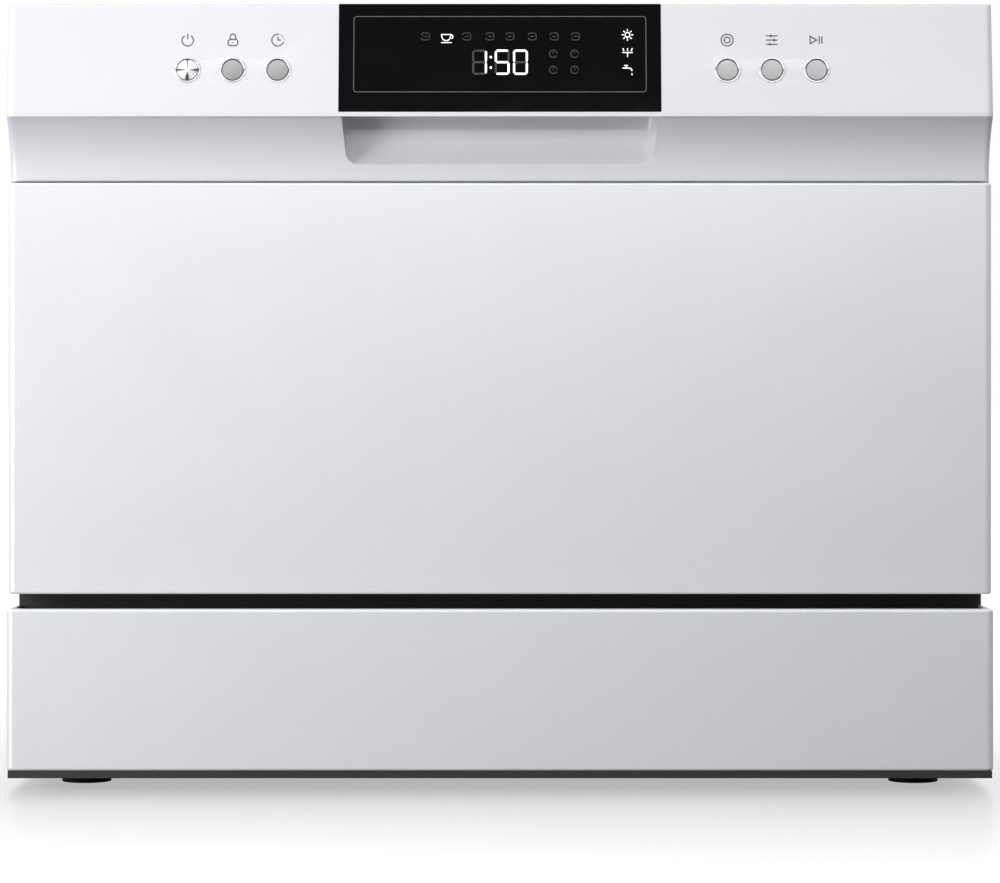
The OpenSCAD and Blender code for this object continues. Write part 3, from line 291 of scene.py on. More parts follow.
def inset(outline, distance, closed=True):
    """An outline moved to its left: each point goes along the mitre of its two edges' normals."""
    edge = (np.roll(outline, -1, 0) - outline) if closed else np.diff(outline, axis=0)
    normal = unit(np.stack([-edge[:, 1], edge[:, 0]], 1))
    if closed:
        before = np.roll(normal, 1, 0)
    else:
        before, normal = np.concatenate([normal[:1], normal]), np.concatenate([normal, normal[-1:]])
    mitre = (normal + before) / (1 + (normal * before).sum(1, keepdims=True))
    return outline + distance * mitre


def at_height(outline, height):
    """An outline of two columns with a height as its third."""
    return np.column_stack([outline, np.full(len(outline), height)])


def at_depth(outline, y):
    """An outline of (x, z) stood upright at one depth."""
    return np.column_stack([outline[:, 0], np.full(len(outline), y), outline[:, 1]])


def carried(profile, stops):
    """A side profile of (y, z) carried to each of the x in stops."""
    return np.stack([np.column_stack([np.full(len(profile), x), profile]) for x in stops])


def place(local, origin, u, v, w):
    """Local coordinates (u, v, w) laid along three directions from an origin."""
    return np.asarray(origin, float) + local @ np.array([u, v, w], float)


X, Y, Z = np.eye(3)
LEVEL = (X, Y, Z)
FRONT = (X, Z, -Y)
FACING = (X, Z, Y)
SIDE = (Y, Z, X)


def slab(outline, low, high, edge, origin=(0, 0, 0), axes=LEVEL, steps=3):
    """A plate over an outline from height low to high: its edge is a quarter circle at each face, drawn in
    by edge (1 - sin t) at height edge (1 - cos t)."""
    t = np.linspace(0, np.pi / 2, steps + 1)
    draw = np.concatenate([edge * (1 - np.sin(t)), edge * (1 - np.sin(t[::-1]))])
    rise = np.concatenate([low + edge * (1 - np.cos(t)), high - edge * (1 - np.cos(t[::-1]))])
    rings = np.stack([at_height(inset(outline, d), h) for d, h in zip(draw, rise)])
    return loft(place(rings, origin, *axes))


def block(low, high, edge=0.6, corner=None):
    """A box with rounded edges."""
    low, high = np.asarray(low, float), np.asarray(high, float)
    outline = rectangle(low[:2], high[:2], corner or edge * 1.01, 3)
    return slab(outline, low[2], high[2], edge)


def revolve(profile, centre, axis, sides=48, closed=False):
    """A profile of (radius, height) turned about an axis through a centre."""
    axis = np.asarray(axis, float)
    e1 = unit(np.cross(axis, X if abs(axis[0]) < 0.9 else Y))
    e2 = np.cross(axis, e1)
    t = (np.arange(sides) * 2 * np.pi / sides)[None, :, None]
    r, h = np.asarray(profile, float).T[:, :, None, None]
    return loft(np.asarray(centre, float) + h * axis + r * (np.cos(t) * e1 + np.sin(t) * e2), closed)


def tube(path, radius, across, sides=10, closed=False):
    """A round bar along a path: point = path + radius (cos a side + sin a over), where side is square to
    the path and to the direction across; the ends are domes."""
    path = np.asarray(path, float)
    radii = np.full(len(path), float(radius))
    if closed:
        along = unit(np.roll(path, -1, 0) - np.roll(path, 1, 0))
    else:
        t = np.radians([78, 52, 26])
        first, last = unit(path[1] - path[0]), unit(path[-2] - path[-1])
        dome = radius * (1 - np.sin(t))[:, None]
        path = np.concatenate([path[0] + first * dome, path[:1] + first * radius, path[1:-1],
                               path[-1:] + last * radius, (path[-1] + last * dome)[::-1]])
        radii = np.concatenate([radius * np.cos(t), radii, radius * np.cos(t[::-1])])
        along = unit(np.gradient(path, axis=0))
    side = unit(np.cross(np.broadcast_to(np.asarray(across, float), path.shape), along))
    over = np.cross(along, side)
    a = (np.arange(sides) * 2 * np.pi / sides)[None, :, None]
    rings = path[:, None] + radii[:, None, None] * (np.cos(a) * side[:, None] + np.sin(a) * over[:, None])
    return loft(rings, closed)


def ribbon(path, width, low, high, closed=False):
    """A flat line in (u, v) with a height: a rectangle carried along the path."""
    path = np.asarray(path, float)
    left, right = inset(path, width / 2, closed), inset(path, -width / 2, closed)
    rings = [at_height(p, h) for p, h in ((left, low), (left, high), (right, high), (right, low))]
    return loft(np.stack(rings, 1), closed)


def moved(form, origin, axes):
    """A form in local coordinates laid along three directions, and its inside point with it."""
    points, faces, ends, inside = form
    return (place(points, origin, *axes), faces, ends,
            None if inside is None else place(inside[None], origin, *axes)[0])


def mirrored(forms):
    """Forms and their mirror images in X."""
    flip = [-1, 1, 1]
    return forms + [(p * flip, f, e, None if i is None else i * flip) for p, f, e, i in forms]


def triangulated(loops):
    """Points and triangles over closed outlines, whose edges all stay."""
    flat = np.concatenate(loops)
    starts = np.cumsum([0] + [len(p) for p in loops])
    edges = [(a + i, a + (i + 1) % (b - a)) for a, b in zip(starts, starts[1:]) for i in range(b - a)]
    found = delaunay_2d_cdt([Vector(p) for p in flat], edges, [], 1, 1e-6)
    return np.array([tuple(p) for p in found[0]]), np.array(found[2])


def within(points, outline):
    """Which points lie inside an outline: the edges that cross a level line to their right are counted."""
    a, b = outline, np.roll(outline, -1, 0)
    x, z = points[:, 0, None], points[:, 1, None]
    crosses = (a[:, 1] > z) != (b[:, 1] > z)
    rise = np.where(b[:, 1] == a[:, 1], 1e-9, b[:, 1] - a[:, 1])
    meets = a[:, 0] + (z - a[:, 1]) * (b[:, 0] - a[:, 0]) / rise
    return (crosses & (x < meets)).sum(1) % 2 == 1


def holed(outline, holes, height, inside):
    """A flat face with holes: triangles between the outline and the holes, without those inside a hole."""
    flat, faces = triangulated([outline] + holes)
    middle = flat[faces].mean(1)
    keep = ~np.any([within(middle, h) for h in holes], axis=0)
    return flat_form(at_height(flat, height), list(faces[keep]), inside)


def pressed(x, z, boxes, depth, edge):
    """Height of a sheet with rounded fields pressed in: depth times a smooth step of the distance inside
    each rounded rectangle (x0, z0, x1, z1, radius), over the width edge."""
    total = np.zeros(np.broadcast(x, z).shape)
    for x0, z0, x1, z1, r in boxes:
        u = abs(x - (x0 + x1) / 2) - (x1 - x0) / 2 + r
        v = abs(z - (z0 + z1) / 2) - (z1 - z0) / 2 + r
        inside = r - np.hypot(np.maximum(u, 0), np.maximum(v, 0)) - np.minimum(np.maximum(u, v), 0)
        t = np.clip(inside / edge, 0, 1)
        total = np.maximum(total, t * t * (3 - 2 * t))
    return depth * total


def lines(*stops, step=4.0):
    """Grid lines through all the stops, no further apart than step."""
    stops = sorted(stops)
    parts = [np.linspace(a, b, max(2, int(math.ceil((b - a) / step)) + 1))[:-1]
             for a, b in zip(stops, stops[1:]) if b - a > 1e-6]
    return np.concatenate(parts + [[stops[-1]]])


def piece(name, forms, finish, body, slot, replaces=(), weld=False, wall=0.0, sharp=35, uv=None):
    """Makes one object from forms in millimetres, gives it its finish and hangs it on its body. Its uv has
    one row for each point; where a face crosses the seam of a turn, the low side goes up by one turn."""
    points = np.concatenate([f[0] for f in forms]) * 0.001
    starts = np.cumsum([0] + [len(f[0]) for f in forms])
    faces = [face for f, s in zip(forms, starts) for face in turned(f, s)]
    mesh = bpy.data.meshes.new(name)
    mesh.from_pydata(points.tolist(), [], faces)
    if uv is not None:
        layer = mesh.uv_layers.new(name="UVMap")
        corner = np.empty(len(mesh.loops), np.int32)
        mesh.loops.foreach_get("vertex_index", corner)
        start = np.empty(len(mesh.polygons), np.int32)
        mesh.polygons.foreach_get("loop_start", start)
        spread = uv[corner].astype(np.float32)
        widest = np.maximum.reduceat(spread[:, 0], start)
        spread[:, 0] += np.repeat(widest, np.diff(np.append(start, len(corner)))) - spread[:, 0] > 0.5
        layer.data.foreach_set("uv", spread.ravel())
    if weld:
        bm = bmesh.new()
        bm.from_mesh(mesh)
        bmesh.ops.remove_doubles(bm, verts=bm.verts, dist=2e-5)
        bm.to_mesh(mesh)
        bm.free()
    mesh.polygons.foreach_set("use_smooth", np.ones(len(mesh.polygons), bool))
    mesh.set_sharp_from_angle(angle=math.radians(sharp))
    mesh.materials.append(FINISH[finish])
    obj = bpy.data.objects.new(name, mesh)
    bpy.context.scene.collection.objects.link(obj)
    if wall:
        solid = obj.modifiers.new("Wall", "SOLIDIFY")
        solid.thickness, solid.offset, solid.use_even_offset = wall * 0.001, -1, True
    obj.modifiers.new("Even shading", "WEIGHTED_NORMAL").keep_sharp = True
    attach(obj, body)
    if replaces:
        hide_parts(*replaces)
    return obj


def stand_in(name, forms, node, finish=None, **more):
    """A piece that takes the place and the body of a CAD node, and by default the finish named by its slot.
    """
    return piece(name, forms, finish or SLOT_OF[node], BODY_OF[node], SLOT_OF[node], (node,), **more)


def fitted(name, forms, node, finish):
    """A piece of its own on a CAD node, whose body it shares."""
    return piece(name, forms, finish, BODY_OF[node], SLOT_OF[node])


def span(node):
    """A CAD node's lowest and highest corner in millimetres."""
    return tuple(np.array(corner) * 1000 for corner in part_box(node))


# Finishes

class Finish:
    """A material whose textures read the piece's own coordinates, in metres."""

    def __init__(self, name, color, rough, metal=0.0, coordinates="Object"):
        self.material = bpy.data.materials.new(name)
        self.material.use_nodes = True
        self.nodes, self.links = self.material.node_tree.nodes, self.material.node_tree.links
        self.shader = next(n for n in self.nodes if n.type == "BSDF_PRINCIPLED")
        self.set("Base Color", (*color, 1))
        self.set("Roughness", rough)
        self.set("Metallic", metal)
        self.color, self.rough = color, rough
        self.coordinates = self.nodes.new("ShaderNodeTexCoord").outputs[coordinates]
        self.height = None
        FINISH[name] = self.material

    def set(self, socket, value):
        """A value that is the same all over."""
        self.shader.inputs[socket].default_value = value
        return self

    def texture(self, kind, scale, stretch=(1, 1, 1), **values):
        """A noise or cell texture, finer along each axis by stretch. Values are the node's own sockets."""
        where = self.nodes.new("ShaderNodeMapping")
        where.inputs["Scale"].default_value = stretch
        self.links.new(self.coordinates, where.inputs["Vector"])
        node = self.nodes.new("ShaderNodeTexNoise" if kind == "noise" else "ShaderNodeTexVoronoi")
        node.inputs["Scale"].default_value = scale
        for key, value in values.items():
            node.inputs[key].default_value = value
        self.links.new(where.outputs[0], node.inputs["Vector"])
        return node.outputs["Color" if kind == "cell" else 0]

    def ramp(self, source, low, high, start=0.0, stop=1.0):
        """Spreads a texture between two numbers or two colours."""
        node = self.nodes.new("ShaderNodeMapRange" if isinstance(low, float) else "ShaderNodeMix")
        if isinstance(low, float):
            for key, value in zip(MAP_KEYS, (start, stop, low, high)):
                node.inputs[key].default_value = value
            self.links.new(source, node.inputs["Value"])
            return node.outputs["Result"]
        node.data_type = "RGBA"
        spread = self.ramp(source, 0.0, 1.0, start, stop)
        self.links.new(spread, node.inputs[0])
        node.inputs[MIX_A].default_value, node.inputs[MIX_B].default_value = (*low, 1), (*high, 1)
        return node.outputs[MIX_OUT]

    def chain(self, node_type, start, steps):
        """Passes a value through one math node after another; each step is an operation and its number."""
        for operation, value in steps:
            node = self.nodes.new(node_type)
            node.operation = operation
            self.links.new(start, node.inputs[0])
            if value is not None:
                node.inputs[1].default_value = value
            start = node.outputs["Value" if operation == "LENGTH" else 0]
        return start

    def bump(self, source, depth):
        """Adds a height, in millimetres, to the ones before it."""
        node = self.nodes.new("ShaderNodeBump")
        node.inputs["Strength"].default_value = 1.0
        node.inputs["Distance"].default_value = depth * 0.001
        self.links.new(source, node.inputs["Height"])
        if self.height:
            self.links.new(self.height, node.inputs["Normal"])
        self.height = node.outputs["Normal"]
        self.links.new(self.height, self.shader.inputs["Normal"])
        return self

    def shade(self, source, spread, start=0.35, stop=0.65):
        """Varies the colour by a share of itself."""
        low, high = ([min(1.0, c * (1 + s * spread)) for c in self.color] for s in (-1, 1))
        self.links.new(self.ramp(source, low, high, start, stop), self.shader.inputs["Base Color"])
        return self

    def dull(self, source, spread, start=0.35, stop=0.65):
        """Varies the roughness by an amount either way."""
        spread = self.ramp(source, max(0.02, self.rough - spread), self.rough + spread, start, stop)
        self.links.new(spread, self.shader.inputs["Roughness"])
        return self


def plain(name, color, rough, scale, spread, detail=2.0, metal=0.0):
    """One colour whose gloss changes a little over fine patches."""
    f = Finish(name, color, rough, metal)
    return f.dull(f.texture("noise", scale, Detail=detail), spread)


def moulded(name, color, rough, grain=0.006, sheen=None):
    """An injection moulding: fine spark-eroded grain, specks in the resin and faint hand marks."""
    f = Finish(name, color, rough)
    f.shade(f.texture("noise", 900, Detail=2.0), 0.012, 0.2, 0.8)
    f.dull(f.texture("noise", 20, Detail=1.0), 0.03, 0.1, 0.9)
    f.bump(f.texture("noise", 1800, Detail=2.0), grain)
    f.bump(f.texture("noise", 60, Detail=1.0), grain * 2)
    if sheen is None:
        return f.set("IOR", 1.5)
    return f.set("Coat Weight", sheen).set("Coat Roughness", 0.12)


def painted(name, color, rough):
    """Satin paint on sheet: orange peel, a pearl of fine flakes and a thin clear coat."""
    f = Finish(name, color, rough, 0.12)
    f.shade(f.texture("cell", 2600), 0.025, 0.1, 0.9)
    f.dull(f.texture("noise", 25, Detail=3.0), 0.03)
    f.bump(f.texture("noise", 420, Detail=1.5), 0.006)
    return f.set("Coat Weight", 0.35).set("Coat Roughness", 0.16)


def brushed(name, color, rough, along=(1, 60, 60)):
    """Stainless sheet with hairlines along X, a soft roll wave and faint water marks."""
    f = Finish(name, color, rough, 1.0)
    hair = f.texture("noise", 40, along, Detail=3.0, Roughness=0.6)
    f.shade(hair, 0.035, 0.3, 0.7)
    f.dull(hair, 0.05, 0.3, 0.7)
    f.bump(hair, 0.002)
    f.bump(f.texture("noise", 12, Detail=2.0), 0.08)
    return f.set("Anisotropic", 0.45)


def plated(name, color, rough):
    """Hot-dipped zinc: grains of spangle that differ in tone and gloss."""
    f = Finish(name, color, rough, 1.0)
    cell = f.texture("cell", 130, Randomness=1.0)
    f.shade(cell, 0.12, 0.1, 0.9)
    f.dull(cell, 0.08, 0.1, 0.9)
    return f.bump(f.texture("noise", 300, Detail=2.0), 0.01)


def rubbery(name, color, rough=0.62):
    """Moulded rubber: dull, with a fine skin and patches of dust."""
    f = Finish(name, color, rough)
    f.shade(f.texture("noise", 40, Detail=5.0), 0.25)
    f.dull(f.texture("noise", 90, Detail=3.0), 0.08)
    f.bump(f.texture("noise", 900, Detail=3.0), 0.02)
    return f.set("Specular IOR Level", 0.35)


class DISHWASHER_OT_finishes(bpy.types.Operator):
    """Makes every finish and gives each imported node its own."""

    bl_idname = "dishwasher.finishes"
    bl_label = "Finishes"

    def execute(self, context):
        c = sizes("colours")
        painted("white_paint", c.paint, 0.34)
        moulded("white_moulding", c.moulding, 0.30, 0.003, 0.25)
        moulded("grey_moulding", c.grey, 0.42)
        moulded("black_moulding", c.black, 0.48, 0.02)
        moulded("board", (0.012, 0.09, 0.035), 0.4, 0.01)
        moulded("clear_blue", (0.10, 0.24, 0.52), 0.16, 0.001, 0.4).set("Transmission Weight", 0.15)
        plain("black_gloss", c.lens, 0.07, 60, 0.02, 3.0).set("Specular IOR Level", 0.10)
        brushed("stainless", c.steel, 0.27)
        plated("zinc", c.zinc, 0.36)
        plain("chrome", (0.80, 0.80, 0.82), 0.17, 500, 0.03, metal=1.0)
        rubbery("seal_rubber", (0.05, 0.05, 0.055))
        rubbery("foot_rubber", (0.016, 0.016, 0.017))
        f = rubbery("felt", (0.035, 0.035, 0.04), 0.9)
        f.bump(f.texture("noise", 160, Detail=6.0), 0.4)
        f = moulded("rack_coating", c.wire, 0.33, 0.01, 0.3)
        f.bump(f.texture("noise", 130, Detail=2.0), 0.05)
        self.button_metal("silver_cap", 0.42, 0.25, 0.02, 0.34)
        # The spun cap's colour carries painted reflection wedges, dark and bright, besides its anisotropic
        # sheen
        self.rays(self.button_metal("spun_cap_painted_reflection", 0.30, 0.9, 0.01))
        plain("mark_ink", c.mark, 0.5, 700, 0.06)
        self.lit("lit_mark", c.glow, 1.0)
        self.lit("ghost_mark", (0.018, 0.018, 0.020), 0.0)
        plain("lens_line", (0.16, 0.16, 0.17), 0.35, 300, 0.05)
        # Painted shade: a near-black finish for flat pieces that stand for the dark insides of the latch
        # slot, the jets and the filter's holes
        f = Finish("painted_opening_shade", (0.006, 0.006, 0.007), 0.7)
        f.bump(f.texture("noise", 500, Detail=2.0), 0.02)
        for name, node in NODES.items():
            node.data.materials.clear()
            node.data.materials.append(FINISH[SLOT_OF[name]])
        return {"FINISHED"}

    @staticmethod
    def button_metal(name, rough, grain, groove, tone=0.50):
        """Turned aluminium: grooves by the distance from the cap's middle, which its UV map holds as V,
        along the turn, which it holds as U."""
        f = Finish(name, (tone, tone, 1.02 * tone), rough, 1.0, "UV")
        grooves = f.texture("noise", 6, (0.4, 0.7, 1), Detail=2.0)
        f.shade(grooves, 0.06, 0.3, 0.7)
        f.dull(grooves, 0.05, 0.3, 0.7)
        f.bump(grooves, groove * 0.2)
        f.set("Anisotropic", grain)
        tangent = f.nodes.new("ShaderNodeTangent")
        tangent.direction_type = "UV_MAP"
        tangent.uv_map = "UVMap"
        f.links.new(tangent.outputs[0], f.shader.inputs["Tangent"])
        return f

    @staticmethod
    def rays(f):
        """Painted reflection of a spun cap: four dark rays, the colour following |sin 4 pi u| round the turn.
        """
        split = f.nodes.new("ShaderNodeSeparateXYZ")
        f.links.new(f.coordinates, split.inputs[0])
        wave = f.chain("ShaderNodeMath", split.outputs[0],
                       (("MULTIPLY", 4 * math.pi), ("SINE", 0.0), ("ABSOLUTE", 0.0)))
        # Painted reflection: the wedges' tone runs from 0.07 at the dark rays to 0.95 between them
        tone = f.ramp(wave, (0.07, 0.07, 0.08), (0.95, 0.95, 0.96), 0.08, 0.55)
        f.links.new(tone, f.shader.inputs["Base Color"])

    @staticmethod
    def lit(name, color, strength):
        """A lit or an unlit segment behind the lens."""
        f = plain(name, color, 0.4, 400, 0.05, 1.0)
        f.set("Emission Color", (*color, 1)).set("Emission Strength", strength)


# Control panel and door

def front_y():
    """Depth of the foremost plane, which the lip and the skirt share."""
    return span("front_skirt")[0][1]


def panel_foot():
    """Height of the control panel's visible foot."""
    return span("control_panel")[1][2] - PANEL_HEIGHT


def on_face(x, rise, proud=0.0):
    """A point on the sloping face: rise is measured up the slope from the lip, proud stands out of it."""
    t = math.atan(FACE_LEAN / FACE_RISE)
    x, rise, proud = np.broadcast_arrays(np.asarray(x, float), rise, proud)
    return np.stack([x, front_y() + rise * math.sin(t) - proud * math.cos(t),
                     FACE_LOW + rise * math.cos(t) + proud * math.sin(t)], -1)


def face_axes():
    """The origin on the lip and the directions across, up and out of the sloping face."""
    origin = on_face(0, 0)
    return origin, (X, on_face(0, 1) - origin, on_face(0, 0, 1) - origin)


def band_radius():
    """Radius of the band's circle, by its height and its depth: (d d + h h) / (2 d)."""
    return (BAND_IN ** 2 + (BAND_TOP - panel_foot()) ** 2) / (2 * BAND_IN)


def band_y(z):
    """Depth of the hollow band under the lip: a circle through the lip and the foot of the panel."""
    r = band_radius()
    return front_y() + BAND_IN - r + np.sqrt(r * r - (z - panel_foot()) ** 2)


def scoop_end(draw):
    """Angle at which the scoop's circle, drawn in, meets the band's circle: both circles' chord gives it."""
    front, big = front_y(), band_radius()
    centre, other = np.array([front + SCOOP_Y, SCOOP_Z]), np.array([front + BAND_IN - big, panel_foot()])
    small = SCOOP_R - np.asarray(draw, float)
    gap = np.linalg.norm(other - centre)
    towards = math.atan2(*(other - centre)[::-1])
    reach = (small ** 2 - big ** 2 + gap ** 2) / (2 * gap)
    return towards + np.arccos(reach / small) - 2 * np.pi * (towards > 0)


def pocket_half(z):
    """Half the pocket's width at a height: it draws in evenly towards its foot."""
    s = sizes("front")
    return s.pocket_half - s.pocket_taper * (BAND_TOP - z) / TAPER_HEIGHT


def pocket_columns():
    """Angle of the rounding and draw-in of the scoop, for each column of the pocket's right end."""
    t = np.linspace(0, np.pi / 2, 9)
    return t, sizes("front").pocket_round * (1 - np.cos(t))


class DISHWASHER_OT_control_panel(bpy.types.Operator):
    """The panel's shell: its side section (sloping face, lip, hollow band, foot) is carried along X and set
    back by r (1 - cos t) over the last r sin t at each end; the face is open for the lens and the buttons."""

    bl_idname = "dishwasher.control_panel"
    bl_label = "Control panel"

    def execute(self, context):
        s = sizes("front")
        end, back, top = span("control_panel")[1]
        front, foot = front_y(), panel_foot()
        lens, corner = s.lens_half, s.side_round
        heights = np.linspace(BAND_TOP, foot + BAND_END, 25)
        band = np.column_stack([band_y(heights), heights])
        tail = rounded([band[-1], [band_y(foot), foot], [back - 9, foot]], 1.2, 4)[1:]
        upper = rounded([[back, top], [front + FACE_LEAN, top], [front, FACE_LOW], band[0]], [2.2, 1.3], 6)
        crown, lip = upper[:8], upper[8:-1]
        section = np.concatenate([upper[:-1], band, tail])
        t = np.linspace(0, np.pi / 2, 7)
        middle = end - corner
        ends = np.stack([np.column_stack([np.full(len(section), middle + corner * math.sin(a)),
                                          np.minimum(section[:, 0] + corner * (1 - math.cos(a)), back),
                                          section[:, 1]]) for a in t])
        core = (0, (front + back) / 2 + 8, (top + foot) / 2)
        side = np.concatenate([ends[-1], [[end, back, foot]]])
        forms = [sheet_form(ends, core), flat_form(side, [np.arange(len(side))], core)]
        for strip in (crown, np.concatenate([lip, band, tail])):
            forms.append(sheet_form(carried(strip, (lens, middle)), core))
        forms = mirrored(forms)
        forms += [self.face(crown[-1], lip[0], ends, core) for ends in ((-middle, -lens), (lens, middle))]
        forms += self.middle(lip, tail, lens, core)
        stand_in("control_panel_shell", forms, "control_panel", weld=True, wall=s.moulding)
        return {"FINISHED"}

    def face(self, top, low, ends, core):
        """The flat of the sloping face from the lens to one rounded end, with a hole for each button."""
        s = sizes("front")
        rise = [math.hypot(p[0] - front_y(), p[1] - FACE_LOW) for p in (low, top)]
        hole = s.cap_radius + s.cap_gap + s.ring_width
        centres = [x for x in BUTTONS if ends[0] < x < ends[1]]
        outline = np.array([[ends[i], rise[j]] for i, j in ((0, 0), (1, 0), (1, 1), (0, 1))])
        flat, faces = triangulated([outline] + [circle((x, BUTTON_RISE), hole, 40) for x in centres])
        away = flat[faces].mean(1)[:, None] - [(x, BUTTON_RISE) for x in centres]
        outside = np.hypot(away[..., 0], away[..., 1]).min(1) > hole
        return flat_form(on_face(flat[:, 0], flat[:, 1]), list(faces[outside]), core)

    def middle(self, lip, tail, lens, core):
        """Between the lens's sides: the ledge under the lens, the lip, its underside and the band below the
        finger pocket. The band's columns start on the pocket's outline and run down to the foot."""
        behind = -sizes("front").lens_sheet
        ledge = on_face(0, 0.05, behind)[1:]
        y = lip[-1, 0]
        top = on_face(0, FACE_LENGTH - 5, behind - 0.05)[1:]
        back, height = span("control_panel")[1][1:]
        crown = rounded([[back, height], [y + FACE_LEAN + 2, height], top], 0.4, 2)
        strips = [np.concatenate([[ledge], lip, [[y, BAND_TOP], [y + 2.6, BAND_TOP]]]), crown]
        forms = [sheet_form(carried(strip, (-lens, lens)), core) for strip in strips]
        outline = pocket_outline()
        x = np.concatenate([[-lens], outline[:, 0], [lens]])[:, None]
        start = np.concatenate([[BAND_TOP], outline[:, 1], [BAND_TOP]])[:, None]
        v = np.linspace(0, 1, 25)[None]
        z = start + (panel_foot() + BAND_END - start) * v
        grid = np.stack([np.broadcast_to(x, z.shape), band_y(z), z], -1)
        return forms + [sheet_form(np.concatenate([grid, carried(tail, x[:, 0])], 1), core)]


def pocket_outline():
    """The pocket's edge on the band as (x, z), from its upper left round its foot to its upper right."""
    s = sizes("front")
    t, draw = pocket_columns()
    angle = scoop_end(draw)
    z = SCOOP_Z + (SCOOP_R - draw) * np.sin(angle)
    x = pocket_half(z) - s.pocket_round + s.pocket_round * np.sin(t)
    side = np.linspace(BAND_TOP, z[-1], 8)[:-1]
    right = np.concatenate([np.column_stack([x, z]), np.column_stack([pocket_half(side), side])[::-1]])
    return np.concatenate([(right * [-1, 1])[::-1], right])


class DISHWASHER_OT_finger_pocket(bpy.types.Operator):
    """The scoop behind the lip: an arc about a level axis, from behind the lip down to the band, carried
    along X; over the rounding at each end its radius shrinks by r (1 - cos t), and a flat wall closes the
    end."""

    bl_idname = "dishwasher.finger_pocket"
    bl_label = "Finger pocket"

    def execute(self, context):
        s = sizes("front")
        front = front_y()
        t, draw = pocket_columns()
        radius = (SCOOP_R - draw)[:, None]
        roof = BAND_TOP + ROOF_RISE
        start = np.arcsin(np.clip((roof - SCOOP_Z) / radius, -1, 1))
        v = np.linspace(0, 1, 33)[None]
        angle = start + (scoop_end(draw)[:, None] - start) * v
        y, z = front + SCOOP_Y + radius * np.cos(angle), SCOOP_Z + radius * np.sin(angle)
        x = pocket_half(z) - s.pocket_round + (s.pocket_round * np.sin(t))[:, None]
        right = np.stack([x, y, z], -1)
        core = (0, front + 60, SCOOP_Z - 20)
        arc = np.concatenate([(right * [-1, 1, 1])[::-1], right])
        ceiling = arc[:, 0].copy()
        ceiling[:, 1] = front + ROOF_IN
        surface = np.concatenate([ceiling[:, None], arc], 1)
        forms = [sheet_form(surface, core)]
        wall = right[-1]
        up = np.linspace(wall[-1, 2], BAND_TOP - 0.1, 9)[1:]
        edge = np.stack([pocket_half(up), band_y(up) + 0.5, up], -1)
        corner = [[pocket_half(roof), front + ROOF_IN, z] for z in (BAND_TOP, roof)]
        loop = np.concatenate([wall, edge, corner])
        forms += mirrored([flat_form(loop, [np.arange(len(loop))], (200, front + 10, SCOOP_Z))])
        stand_in("finger_pocket", forms, "handle_pocket", weld=True, wall=0.9)
        return {"FINISHED"}


def plate(outline, low, high):
    """A flat shape with square edges, thin enough that no rounding shows."""
    return loft(np.stack([at_height(outline, h) for h in (low, high)]))


def stroke(points, width, proud=0.03, closed=False):
    """A printed or lit line on the lens or the face."""
    return ribbon(np.asarray(points, float), width, 0.0, proud, closed)


def arc(centre, radius, start, stop, steps=16):
    """Part of a circle as points, with angles in degrees."""
    t = np.radians(np.linspace(start, stop, steps + 1))
    return np.asarray(centre, float) + radius * np.stack([np.cos(t), np.sin(t)], 1)


